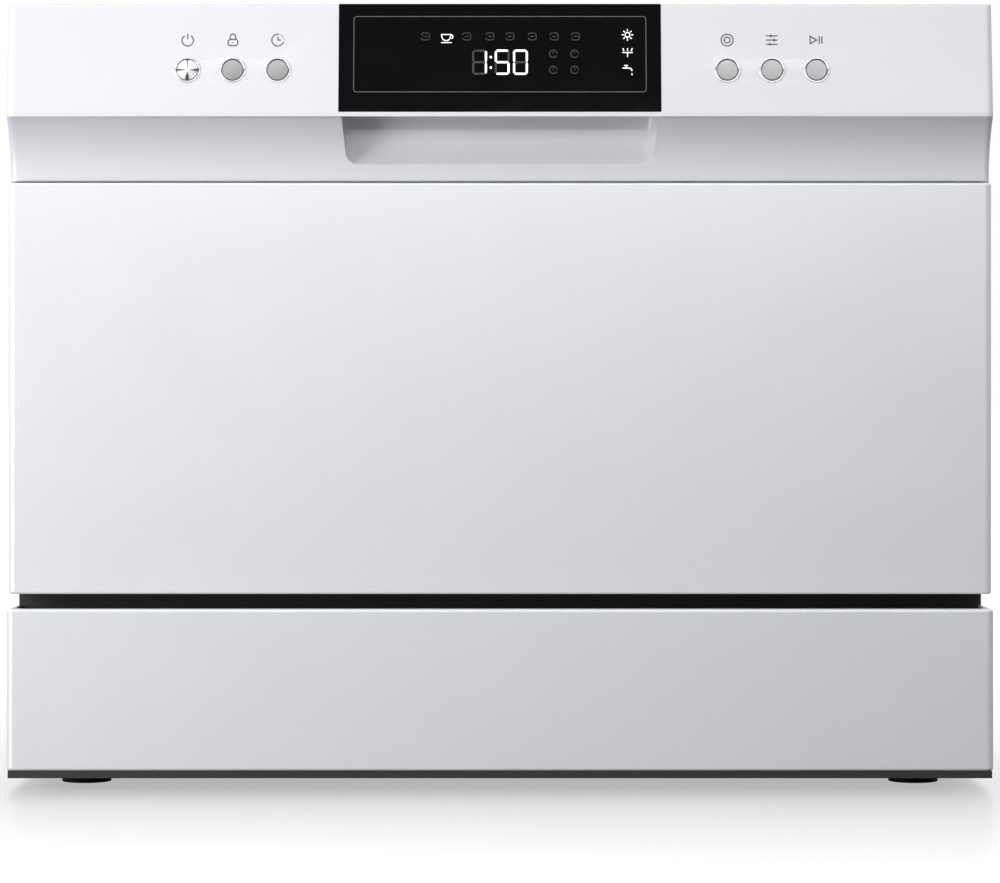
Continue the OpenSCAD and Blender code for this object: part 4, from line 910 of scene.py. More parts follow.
class DISHWASHER_OT_display(bpy.types.Operator):
    """The black lens with its thin outline, seven-segment digits and small symbols behind it. A segment is a
    bar whose ends are cut to 45 degrees: a corner lies half a width further in than the bar's tip."""

    bl_idname = "dishwasher.display"
    bl_label = "Display"

    def execute(self, context):
        s = sizes("front")
        origin, axes = face_axes()
        half = s.lens_half - 0.1
        outline = rectangle((-half, 0.1), (half, FACE_LENGTH), 0.5, 3)
        stand_in("lens", [slab(outline, -s.lens_sheet, 0, 0.35, origin, axes)], "display_lens")
        frame_line = stroke(rectangle((-81.5, 11.5), (81.5, 54.6), 1.7), 0.3, closed=True)
        lit, ghost = self.digits()
        lit += [stroke(p, 0.42) for p in self.cup((-29.6, 42.3)) + self.sun((71.2, 44.1))
                + self.spray((71.2, 34.0)) + self.tap((71.2, 23.8))]
        ghost += [stroke(p, 0.5) for x in (-41.6, -18.5, -5.6, 5.6, 18.0, 30.3, 42.1)
                  for p in (rectangle((x - 2.2, 41.2), (x + 2.2, 45.2), 1.2),
                            [[x - 1.2, 43.2], [x + 1.2, 43.2]])]
        ghost += [stroke(p, 0.5) for x in (29.8, 41.6) for z in (33.3, 24.1)
                  for p in (arc((x, z), 2.1, 0, 330), [[x, z], [x, z + 1.4]])]
        for name, marks, finish in (("lens_outline", [frame_line], "lens_line"),
                                    ("lit_segments", lit, "lit_mark"),
                                    ("dark_segments", ghost, "ghost_mark")):
            fitted(name, [moved(m, origin, axes) for m in marks], "display_lens", finish)
        return {"FINISHED"}

    def digits(self):
        """One hour fifty in plain segments: three digits with a colon, and the digits' unlit segments."""
        low, high = 21.3, 35.6
        lit, ghost = [], []
        for left, on in ((-15.44, "bc"), (-2.81, "afgcd"), (7.36, "abcdef")):
            shapes = self.segments(left, left + 8.2, low, high)
            lit += [plate(shapes[k], 0, 0.03) for k in on]
            ghost += [plate(shapes[k], 0, 0.02) for k in shapes if k not in on]
        for rise in (25.4, 31.4):
            lit.append(plate(rectangle((-5.65, rise - 0.6), (-4.45, rise + 0.6), 0.25, 2), 0, 0.03))
        return lit, ghost

    @staticmethod
    def segments(left, right, low, high, width=1.1, gap=0.16):
        """Outlines of the seven bars of one digit by their usual letters."""
        w = width / 2
        x0, x1, z0, z2 = left + w, right - w, low + w, high - w
        z1 = (z0 + z2) / 2
        ends = {"a": ((x0, z2), (x1, z2)), "b": ((x1, z1), (x1, z2)), "c": ((x1, z0), (x1, z1)),
                "d": ((x0, z0), (x1, z0)), "e": ((x0, z0), (x0, z1)), "f": ((x0, z1), (x0, z2)),
                "g": ((x0, z1), (x1, z1))}
        shapes = {}
        for key, (p, q) in ends.items():
            p, q = np.array(p), np.array(q)
            along = unit(q - p)
            side = np.array([-along[1], along[0]])
            p, q = p + gap * along, q - gap * along
            shapes[key] = np.array([p, p + w * (along - side), q - w * (along + side), q,
                                    q - w * (along - side), p + w * (along + side)])
        return shapes

    @staticmethod
    def cup(c):
        """A cup with its handle on a saucer."""
        x, z = c
        bowl = [[x - 3.0, z + 2.0], *arc((x - 0.4, z + 0.9), 2.4, 190, 350, 10), [x + 2.2, z + 2.0]]
        return [[*bowl, bowl[0]], arc((x + 2.3, z + 0.7), 1.1, 80, -80, 8),
                [[x - 3.2, z - 2.6], [x + 2.6, z - 2.6]]]

    @staticmethod
    def sun(c):
        """A ring with eight rays."""
        rays = [np.array([[math.cos(a), math.sin(a)]]) for a in np.arange(8) * math.pi / 4]
        return [arc(c, 1.35, 0, 350)] + [np.asarray(c) + ray * [[2.1], [3.2]] for ray in rays]

    @staticmethod
    def spray(c):
        """A spray arm on its post with three jets."""
        x, z = c
        return [[[x - 2.9, z], [x + 2.9, z]], [[x, z], [x, z - 2.5]]] + [
            [[x + k * 2, z + 0.9], [x + k * 2.6, z + 2.4]] for k in (-1, 0, 1)]

    @staticmethod
    def tap(c):
        """A tap with one drop."""
        x, z = c
        return [[[x - 2.8, z + 1.3], [x + 0.8, z + 1.3]], arc((x + 0.8, z - 0.3), 1.6, 90, 0, 6),
                [[x - 0.8, z + 1.3], [x - 0.8, z + 2.8]], [[x - 1.9, z + 2.8], [x + 0.3, z + 2.8]],
                [[x + 2.4, z - 1.7], [x + 2.4, z - 2.8]]]


class DISHWASHER_OT_buttons(bpy.types.Operator):
    """Each cap and its ring are profiles of radius and height turned about the face's normal. The cap is
    dished: its height falls by 0.3 mm (r / R) squared from the rim's fillet to the middle."""

    bl_idname = "dishwasher.buttons"
    bl_label = "Buttons"

    def execute(self, context):
        s = sizes("front")
        out, sides = face_axes()[1][2], 64
        r, ring = s.cap_radius, s.cap_radius + s.cap_gap + s.ring_width
        t = np.linspace(0, np.pi / 2, 5)
        rim = np.column_stack([r - 0.35 + 0.35 * np.sin(t), 0.5 - 0.35 * (1 - np.cos(t))])
        q = np.linspace(0, 1, 9)[1:]
        dish = np.column_stack([(r - 0.36) * q, 0.3 + 0.2 * q ** 2])
        cap = np.concatenate([[[POLE, 0.3]], dish, rim, [[r, -3.4]], [[POLE, -3.4]]])
        inner = ring - s.ring_width
        outer = rounded([[inner, -3.9], [inner, 0.7], [ring, 0.7], [ring, -3.9]], 0.42, 5)
        turn, reach = np.meshgrid(np.arange(sides) / sides * 2 * np.pi, cap[:, 0])
        uv = np.stack([turn / (2 * np.pi), reach], -1).reshape(-1, 2)
        for x, node in zip(BUTTONS, BUTTON_NODES):
            form = revolve(cap, on_face(x, BUTTON_RISE), out, sides)
            # The power cap takes the finish with painted reflection wedges
            finish = "spun_cap_painted_reflection" if node == "power_button" else "silver_cap"
            stand_in(node.replace("_button", "_cap"), [form], node, finish, uv=uv)
        rings = [revolve(outer, on_face(x, BUTTON_RISE), out, sides, True) for x in BUTTONS]
        stand_in("rings", rings, "button_rings")
        self.marks()
        return {"FINISHED"}

    @staticmethod
    def marks():
        """Printed symbols over the buttons: on and off, lock, clock, dial, sliders, start and pause."""
        switch, lock, delay, dial, slider, start = BUTTONS
        z = MARK_RISE
        width = sizes("front").mark_width
        paths = [arc((switch, z - 0.2), 3.2, 122, 418), [[switch, z + 0.5], [switch, z + 3.6]],
                 rectangle((lock - 2.7, z - 3.2), (lock + 2.7, z + 0.4), 1.3, 3)[[*range(16), 0]],
                 [[lock - 1.5, z + 0.5], *arc((lock, z + 2.0), 1.5, 180, 0, 8), [lock + 1.5, z + 0.5]],
                 [[lock, z - 1.0], [lock, z - 1.8]],
                 *[arc((delay, z), 3.4, a, b) for a, b in ((80, 345), (5, 13), (28, 36), (51, 59))],
                 [[delay + 0.1, z + 2.0], [delay + 0.1, z], [delay + 1.7, z]],
                 arc((dial, z), 3.4, 0, 359), arc((dial, z), 1.7, 0, 359),
                 *[[[slider - 3.2, z + k], [slider + 3.2, z + k]] for k in (-2.4, 0.0, 2.4)],
                 *[[[slider + k, z + h - 0.9], [slider + k, z + h + 0.9]]
                   for k, h in ((-1.2, -2.4), (1.4, 0), (-0.4, 2.4))],
                 [[start - 3.4, z - 2.2], [start + 0.2, z], [start - 3.4, z + 2.2], [start - 3.4, z - 2.2]],
                 *[[[start + k, z - 2.1], [start + k, z + 2.1]] for k in (1.7, 3.2)]]
        origin, axes = face_axes()
        marks = [moved(stroke(p, width, 0.02), origin, axes) for p in map(np.array, paths)]
        fitted("printed_marks", marks, "control_panel", "mark_ink")


def folded(node, fold=3.9):
    """A sheet bent into a U from above, with its level edges folded in: the plan is carried up and drawn in
    by r (1 - cos t) over the last r sin t of its height."""
    s = sizes("front")
    (x0, y0, z0), (x1, y1, z1) = span(node)
    plan = rounded([[x0, y1], [x0, y0], [x1, y0], [x1, y1]], s.side_round, 7)
    rows = rounded([[fold, z0], [0, z0], [0, z1], [fold, z1]], s.edge_round, 6)
    grid = np.stack([at_height(inset(plan, d, False), z) for d, z in rows])
    return sheet_form(grid, (0, y1 - 2, (z0 + z1) / 2))


class DISHWASHER_OT_door_panel(bpy.types.Operator):
    """The door's painted outer panel: a bent sheet with rounded upright edges and folded level edges."""

    bl_idname = "dishwasher.door_panel"
    bl_label = "Door panel"

    def execute(self, context):
        stand_in("door_sheet", [folded("door_panel")], "door_panel", wall=sizes("front").sheet)
        return {"FINISHED"}


class DISHWASHER_OT_skirt(bpy.types.Operator):
    """The skirt under the door: a sheet bent like the door panel's, with a ledge along its upper edge."""

    bl_idname = "dishwasher.skirt"
    bl_label = "Skirt"

    def execute(self, context):
        low, high = span("front_skirt")
        ledge = block((low[0] + 3, low[1] + 3, high[2] - 2), (high[0] - 3, low[1] + 12, high[2] - 0.1), 0.5)
        stand_in("skirt_sheet", [folded("front_skirt"), ledge], "front_skirt", wall=sizes("front").sheet)
        return {"FINISHED"}


class DISHWASHER_OT_cabinet(bpy.types.Operator):
    """Top cover, side panels and rear cover as thin sheets with rolled edges, and the four feet as turned
    profiles."""

    bl_idname = "dishwasher.cabinet"
    bl_label = "Cabinet"

    def execute(self, context):
        low, high = span("top_cover")
        cover = block((low[0], low[1], high[2] - 1), high, 0.48, 1.5)
        fold = block((high[0] - 2, low[1] + 1, low[2]), (high[0] - 1.05, high[1] - 2, high[2] - 0.6), 0.2)
        stand_in("cover_sheet", [cover] + mirrored([fold]), "top_cover")
        low, high = span("side_panels")
        panel = block((high[0] - 1, low[1], low[2]), high, 0.48)
        stand_in("side_sheets", mirrored([panel]), "side_panels")
        self.rear()
        self.feet()
        return {"FINISHED"}

    def rear(self):
        """The rear cover: a grid in X and Z whose depth carries a pressed field and the louvres in it. A
        louvre stands out by 3.4 sin(pi v^1.8) over its height v, times the root of the distance from its
        nearer end, up to one."""
        low, high = span("rear_cover")
        reach, width, height, rows = 150, 25, 12, (200, 250, 300)
        x = lines(low[0], high[0], *np.arange(-reach, reach + 1, width), step=2.1)
        z = lines(low[2], high[2], *(h + k for h in rows for k in (0, height)), step=2.4)
        gx, gz = np.meshgrid(x, z)
        y = high[1] - pressed(gx, gz, [(-160, 190, 160, 322, 8)], 1.5, 5)
        u = (gx + reach) % width / width
        ends = np.clip(np.minimum(u, 1 - u) * 7 - 0.35, 0, 1) * (abs(gx) < reach)
        for h in rows:
            v = np.clip((gz - h) / height, 0, 1)
            y += 3.4 * np.sin(np.pi * v ** 1.8) * np.sqrt(ends)
        sheet = sheet_form(np.stack([gx, y, gz], -1), (0, low[1] - 20, 200))
        stand_in("rear_sheet", [sheet], "rear_cover", wall=0.8)

    def feet(self):
        """Four rubber feet with a rounded rim and a shallow groove."""
        low, high = span("feet")
        r = FOOT_RADIUS
        rim = rounded([[POLE, 0.6], [r - 5, 0.6], [r - 4, 0], [r, 0], [r, 3.2], [r - 1.2, 3.6],
                       [r - 1.2, 4.2], [r - 0.4, 4.6], [r - 1, 6]], 0.5, 4)
        profile = np.concatenate([rim, [[POLE, 6.0]]])
        forms = [revolve(profile, (high[0] - r, y, 0), Z, 48) for y in (low[1] + r, high[1] - r)]
        stand_in("rubber_feet", mirrored(forms), "feet")


class DISHWASHER_OT_tub(bpy.types.Operator):
    """The tub's wrapper and back. Shallow beads are pressed outwards by a smooth step of the distance
    inside a rounded rectangle."""

    bl_idname = "dishwasher.tub"
    bl_label = "Tub"

    def execute(self, context):
        press = sizes("inside").press
        low, high = span("tub_wrapper")
        half, ceiling, wall = high[0] - 1, high[2] - 1, 1.0
        y = lines(low[1], high[1], low[1] + 30, high[1] - 30, step=5)
        corner = rounded([[half, low[2]], [half, ceiling], [0, ceiling]], 20, 12)
        side = np.column_stack([np.full(40, half), np.linspace(low[2], ceiling - 21, 40)])
        roof = np.column_stack([np.linspace(half - 21, 0, 60), np.full(60, ceiling)])
        path = np.concatenate([side, corner[1:-1], roof])
        path = np.concatenate([path, (path * [-1, 1])[::-1][1:]])
        along = np.concatenate([[0], np.cumsum(np.linalg.norm(np.diff(path, axis=0), axis=1))])
        normal = unit(np.gradient(path, axis=0))[:, ::-1] * [1, -1]
        grid_y, grid_s = np.meshgrid(y, along, indexing="ij")
        total = along[-1]
        up = ceiling - low[2]
        fields = [(low[1] + 24, s - w, high[1] - 24, s + w, w) for s, w in
                  ((up * 0.18, 8), (up * 0.72, 8), (total - up * 0.18, 8), (total - up * 0.72, 8),
                   (total / 2 - 150, 12), (total / 2, 12), (total / 2 + 150, 12))]
        out = pressed(grid_y, grid_s, fields, press, 5)[..., None]
        inner = path[None] + out * normal[None]
        outer = inner + wall * normal[None]
        ring = np.concatenate([inner, outer[:, ::-1]], 1)
        rings = np.stack([ring[..., 0], np.broadcast_to(y[:, None], ring.shape[:2]), ring[..., 1]], -1)
        stand_in("tub_shell", [loft(rings)], "tub_wrapper")
        self.back(press)
        return {"FINISHED"}

    def back(self, press):
        """The tub's rear wall: level lines are as wide as the rounded outline at their height."""
        low, high = span("tub_back")
        r = 21
        z = lines(low[2], high[2] - r, high[2] - r / 2, high[2] - 3, high[2], step=4)
        half = high[0] - r + np.sqrt(np.clip(r * r - np.clip(z - high[2] + r, 0, r) ** 2, 0, None))
        u = np.linspace(-1, 1, 121)
        gx, gz = u[None] * half[:, None], np.repeat(z[:, None], len(u), 1)
        fields = [(-205, 150, 205, 385, 26), (-170, 330, 170, 352, 11), (-170, 290, 170, 312, 11)]
        y = low[1] + pressed(gx, gz, fields[:1], press, 8) - pressed(gx, gz, fields[1:], press * 0.8, 6)
        sheet = sheet_form(np.stack([gx, y, gz], -1), (0, high[1] + 60, 260))
        stand_in("tub_rear", [sheet], "tub_back", wall=0.9)


class DISHWASHER_OT_door_liner(bpy.types.Operator):
    """The stainless liner: rings of one rounded outline, drawn in step by step from the folded edge over the
    flat border, down into the pressed middle and on to the hole for the dispenser."""

    bl_idname = "dishwasher.door_liner"
    bl_label = "Door liner"

    def execute(self, context):
        low, high = span("door_liner")
        d_low, d_high = span("dispenser_body")
        face, press, edge = high[1], 4.0, 2.0
        t = np.linspace(0, np.pi / 2, 5)
        steps = [(0, -12.0)] + [(edge * (1 - math.cos(a)), edge * (math.sin(a) - 1)) for a in t]
        steps += [(25, 0)] + [(26 + 2.5 * (1 - math.cos(a)) / 2, -press * (1 - math.cos(a)) / 2)
                              for a in np.linspace(0, np.pi, 9)]
        rings = []
        for draw, depth in steps:
            outline = rectangle((low[0] + draw, low[2] + draw), (high[0] - draw, high[2] - draw),
                                8 + max(0.0, draw - 8) * 0.62, 8)
            rings.append(at_depth(outline, face + depth))
        hole = rectangle((d_low[0] + 2, d_low[2] + 2), (d_high[0] - 2, d_high[2] - 2), 6, 8)
        rings += [at_depth(hole, face - press + reach) for reach in (0.0, -3.0)]
        liner = belt(np.stack(rings), (0, low[1] - 60, 260))
        stand_in("liner_sheet", [liner], "door_liner", wall=0.7)
        slot = (0, face, 418)
        # The slot's opening is a thin dark plate of painted shade inside the rim
        gap = plate(rectangle((-9, -4), (9, 4), 2), -0.2, 0.02)
        rim = ribbon(rectangle((-9.6, -4.6), (9.6, 4.6), 2.4), 1.2, -0.2, 0.5, True)
        fitted("latch_slot_shade", [moved(gap, slot, FACING)], "door_liner", "painted_opening_shade")
        fitted("latch_rim", [moved(rim, slot, FACING)], "door_liner", "stainless")
        return {"FINISHED"}


class DISHWASHER_OT_dispenser(bpy.types.Operator):
    """The detergent dispenser: a plate with rounded edges round the dose cup and the rinse aid cap, a
    sliding lid with a grip, and the cap as a turned profile with a bar across it."""

    bl_idname = "dishwasher.dispenser"
    bl_label = "Dispenser"

    def execute(self, context):
        low, high = span("dispenser_body")
        cup_low, cup_high = span("dispenser_lid")
        cap_low, cap_high = span("rinse_cap")
        top, cap, middle = high[1], (cap_low + cap_high) / 2, (low + high) / 2
        outline = rectangle((low[0], low[2]), (high[0], high[2]), 8, 5)
        t, edge = np.linspace(0, np.pi / 2, 5), 1.2
        skin = [at_height(inset(outline, edge * (1 - math.cos(a))), top - edge + edge * math.sin(a))
                for a in t]
        cup = rectangle((cup_low[0] + 3, cup_low[2] + 5), (cup_high[0] - 3, cup_high[2] - 5), 8, 5)
        bore = circle((cap[0], cap[2]), 17.3, 48)
        forms = [belt(np.stack([at_height(outline, top - 2.6)] + skin), (middle[0], middle[2], top - 50)),
                 holed(skin[-1][:, :2], [cup, bore], top, (0, 0, top - 50))]
        for loop, depth in ((cup, 17.0), (bore, 5.0)):
            rows = [at_height(inset(loop, d), top - h) for d, h in
                    ((0, 0), (0.3, 0.5), (0.6, depth - 4), (2, depth - 1.2), (4, depth - 0.2), (6, depth))]
            foot = np.arange(len(loop)) + (len(rows) - 1) * len(loop)
            forms.append((np.concatenate(rows), quads(len(rows), len(loop), False, True), [foot],
                          np.append(loop.mean(0), -400)))
        stand_in("dispenser_plate", [moved(f, (0, 0, 0), FACING) for f in forms], "dispenser_body", weld=True)
        lid = slab(rectangle((cup_low[0], cup_low[2]), (cup_high[0], cup_high[2]), 6, 5), cup_low[1],
                   cup_low[1] + 2.2, 0.8, axes=FACING)
        grip = block((cup_high[0] - 9, cup_low[1] + 1.6, cap[2] - 14),
                     (cup_high[0] - 5, cup_high[1], cap[2] + 14), 0.8)
        stand_in("sliding_lid", [lid, grip], "dispenser_lid")
        r, proud = (cap_high[0] - cap_low[0]) / 2, cap_high[1]
        profile = rounded([[POLE, proud - 2], [r - 3.6, proud - 2], [r - 3, proud], [r, proud],
                           [r, proud - 8], [POLE, proud - 8]], 0.6, 4)
        disc = revolve(profile, (cap[0], 0, cap[2]), Y, 64)
        bar = block((cap[0] - r + 2, proud - 3, cap[2] - 3), (cap[0] + r - 2, proud, cap[2] + 3), 0.7)
        stand_in("dosing_cap", [disc, bar], "rinse_cap")
        return {"FINISHED"}


# The rack's half width, how far its front and its sides rise and its ends lean, its length, the numbers of
# its wires and its tines with their step and height, and the cup shelf's width
RACK_HALF = 212.0
RACK_RISE_FRONT, RACK_RISE_SIDE = 82.0, 112.0
RACK_LEAN, REAR_LEAN = 30.0, 8.0
RACK_LENGTH = 330.0
LONG_WIRES, CROSS_WIRES = 11, 8
TINE_ROWS, TINE_COUNT, TINE_STEP, TINE_RISE = 4, 9, 32.0, 58.0
SHELF_WIDTH = 84.0


class DISHWASHER_OT_rack(bpy.types.Operator):
    """The wire rack: every wire is a round bar along a path whose turns are arcs. The rim and the wire at
    half its height are closed loops, and plates at the sides carry the wheels."""

    bl_idname = "dishwasher.rack"
    bl_label = "Rack"

    def execute(self, context):
        s = sizes("inside")
        wheels = [sum(span(node)) / 2 for node in ("front_rack_wheels", "rear_rack_wheels")]
        w, r, bend, base = RACK_HALF, s.wire, s.wire_bend, span("dish_rack")[0][2]
        front = span("cutlery_basket")[0][1] - 14
        back = front + RACK_LENGTH
        z0, cross = base + r, base + 2.7 * r
        forms = []

        def lean(h):
            return front - RACK_LEAN * h / RACK_RISE_FRONT

        def tail(h):
            return back + REAR_LEAN * h / RACK_RISE_SIDE

        for x in np.linspace(14 - w, w - 14, LONG_WIRES):
            path = [[x, lean(RACK_RISE_FRONT), base + RACK_RISE_FRONT], [x, front, z0], [x, back, z0],
                    [x, tail(RACK_RISE_SIDE), base + RACK_RISE_SIDE]]
            forms.append(tube(rounded(path, bend), r, X))
        cross_y = np.linspace(front + 10, back - 10, CROSS_WIRES)
        for y in cross_y:
            path = [[-w, y, base + RACK_RISE_SIDE - 3], [9 - w, y, cross], [w - 9, y, cross],
                    [w, y, base + RACK_RISE_SIDE - 3]]
            forms.append(tube(rounded(path, bend), r, Y))
        top, h, side = base + RACK_RISE_SIDE - 2, RACK_RISE_FRONT * 0.5, RACK_RISE_SIDE * 0.5
        for half, first, low, turn, last, high in (
                (w, lean(RACK_RISE_FRONT) + 1, base + RACK_RISE_FRONT - 1, front + 24,
                 tail(RACK_RISE_SIDE - 2) - 1.4, top),
                (w - 4.5, lean(h) + 1.4, base + h, front + 20, tail(side) - 1.4, base + side)):
            corners = [[-half, first, low], [half, first, low], [half, turn, high], [half, last, high],
                       [-half, last, high], [-half, turn, high]]
            forms.append(tube(ring_path(corners, 13, 8), r, Z, closed=True))
        for x in 62 - w + 58 * np.arange(TINE_ROWS):
            forms.append(tube([[x, cross_y[0], cross + 1.5 * r], [x, cross_y[-1], cross + 1.5 * r]], r, X))
            for y in front + 30 + TINE_STEP * np.arange(TINE_COUNT):
                forms.append(tube([[x, y, cross - 1], [x, y + 8, cross + TINE_RISE]], s.tine, X, 8))
        foot, axle, hub = base + side - 3, wheels[0][2], span("front_rack_wheels")[1][0] - WHEEL_WIDTH
        boss = rounded([[POLE, hub - w - 0.1], [5, hub - w - 0.1], [5, 0]], 0.5, 3)
        pin = [[POLE, 0], [3, 0], [3, hub - w + 7.6], [2.4, hub - w + 8.2], [POLE, hub - w + 8.2]]
        for y in (wheels[0][1], wheels[1][1]):
            hanger = rectangle((y - 13, foot), (y + 13, top + 1.5), 5, 5)
            forms += mirrored([block((w - 5, y - 13, foot), (w, y + 13, foot + 6), 0.6, 2),
                               slab(hanger, w - 1, hub - 1, 1.0, axes=SIDE),
                               *(revolve(profile, (w, y, axle), X, 24) for profile in (boss, pin))])
        eye_z = top + 2 * r + 0.3
        ring = [[r + 0.05, -4], [2.2 * r, -4], [2.2 * r, 4], [r + 0.05, 4]]
        forms += [revolve(ring, (1 - w, y, eye_z), Y, 24, True) for y in (front + 60, back - 60)]
        stand_in("wire_rack", forms, "dish_rack")
        self.shelf(front, back, eye_z)
        return {"FINISHED"}

    def shelf(self, front, back, z):
        """The folding cup shelf over the rack's left side."""
        r = sizes("inside").wire
        x0, y0, y1 = 1 - RACK_HALF, front + 40, back - 40
        x1, middle = x0 + SHELF_WIDTH, x0 + SHELF_WIDTH / 2
        rim = [[x1, y0 + r, z], [x1, y1 - r, z], [x0, y1 - r, z], [x0, y0 + r, z]]
        forms = [tube(ring_path(rim, 8, 6), r, Z, closed=True),
                 tube([[middle, y0 + r, z + 0.5], [middle, y1 - r, z + 0.5]], r * 0.9, Z)]
        for y in np.linspace(y0 + 2, y1 - 2, 9)[1:-1]:
            forms.append(tube([[x0, y, z + 1], [x1, y, z + 1]], r * 0.9, Z))
        stand_in("folding_shelf", forms, "cup_shelf")


class DISHWASHER_OT_basket(bpy.types.Operator):
    """The cutlery basket: three level bands joined by upright bars, a floor and plain partitions."""

    bl_idname = "dishwasher.basket"
    bl_label = "Cutlery basket"

    def execute(self, context):
        (x0, y0, z0), (x1, y1, z1) = span("cutlery_basket")
        t, edge = 2.0, 0.6
        bands = ((z0, z0 + 12), (z0 + 48, z0 + 60), (z1 - 12, z1))
        forms = [block((x0, y0, z0), (x1, y1, z0 + t), edge, 4)]
        for a, b in bands:
            forms += [block((x, y0, a), (x + t, y1, b), edge) for x in (x0, x1 - t)]
            forms += [block((x0, y, a), (x1, y + t, b), edge) for y in (y0, y1 - t)]
        rim = rectangle((x0 + 1, y0 + 1), (x1 - 1, y1 - 1), 3.5, 5)
        forms.append(tube(at_height(rim, z1 - 1.2), 1.1, Z, 8, closed=True))
        for x in (x0, x1 - t):
            forms += [block((x, y, z0 + 10), (x + t, y + 6, z1 - 10), edge)
                      for y in np.arange(y0, y1 - 5, 12)]
        for y in (y0, y1 - t):
            forms += [block((x, y, z0 + 10), (x + 5, y + t, z1 - 10), edge)
                      for x in np.linspace(x0 + 8, x1 - 13, 6)]
        middle = (x0 + x1 - t) / 2
        forms.append(block((middle, y0 + 1, z0 + 1), (middle + t, y1 - 1, z1 - 0.6), 0.5))
        cell = (y1 - y0 - t) / 4
        forms += [block((x0 + 1, y0 + k * cell, z0 + 1), (x1 - 1, y0 + k * cell + t, z1 - 0.6), 0.5)
                  for k in (1, 2, 3)]
        stand_in("basket", forms, "cutlery_basket")
        return {"FINISHED"}


class DISHWASHER_OT_rails(bpy.types.Operator):
    """The rails' rolled section with its end stops, and the four pairs of wheels as turned profiles."""

    bl_idname = "dishwasher.rails"
    bl_label = "Rails and wheels"

    def execute(self, context):
        low, high = span("rails")
        wide, tall, t = 22.0, high[2] - low[2], 1.2
        x, z = high[0] - wide / 2, (low[2] + high[2]) / 2
        h, v = wide / 2, tall / 2
        right = [[h, -v], [h, t - v], [t / 2, t - v], [t / 2, v - t], [h, v - t], [h, v]]
        outline = np.array(right + [[-a, b] for a, b in right[::-1]])
        bar = slab(outline, low[1], high[1], 0.15, (x, 0, z), (X, Z, Y), 1)
        stops = [block((x - h + 1, y, low[2] + t), (x + h - 1, y + 2, low[2] + t + 2), 0.4)
                 for y in (low[1], high[1] - 2)]
        stand_in("rail_sections", mirrored([bar] + stops), "rails")
        for node in ("front_tub_rollers", "rear_tub_rollers", "front_rack_wheels", "rear_rack_wheels"):
            low, high = span(node)
            r = (high[2] - low[2]) / 2
            width = WHEEL_WIDTH
            profile = rounded([[3.1, 0], [4.6, 0], [4.8, 1.2], [r - 2.2, 1.2], [r - 1.8, 0], [r, 0],
                               [r, width], [r - 1.8, width], [r - 2.2, width - 1.2], [4.8, width - 1.2],
                               [4.6, width], [3.1, width]], 0.4, 3)
            centre = (high[0] - width, (low[1] + high[1]) / 2, (low[2] + high[2]) / 2)
            spoke, *rest = block((centre[0] + 1.0, centre[1] - 0.5, centre[2] + 4.4),
                                 (centre[0] + width - 1.0, centre[1] + 0.5, centre[2] + r - 1.9), 0.2)
            forms = [revolve(profile, centre, X, 40, True)]
            for a in np.arange(6) * np.pi / 3:
                turn = np.array([[1, 0, 0], [0, math.cos(a), math.sin(a)], [0, -math.sin(a), math.cos(a)]])
                forms.append(((spoke - centre) @ turn + centre, *rest))
            stand_in(node + "_turned", mirrored(forms), node)
        return {"FINISHED"}


# Half of the spray arm: three circles (x, y, radius) and the nozzles' distances from the middle
ARM_CIRCLES = ((0.0, 0.0, 22.0), (101.75, 4.0, 15.84), (171.0, 2.0, 14.0))
NOZZLES = (40.0, 72.0, 104.0, 134.0, 160.0)


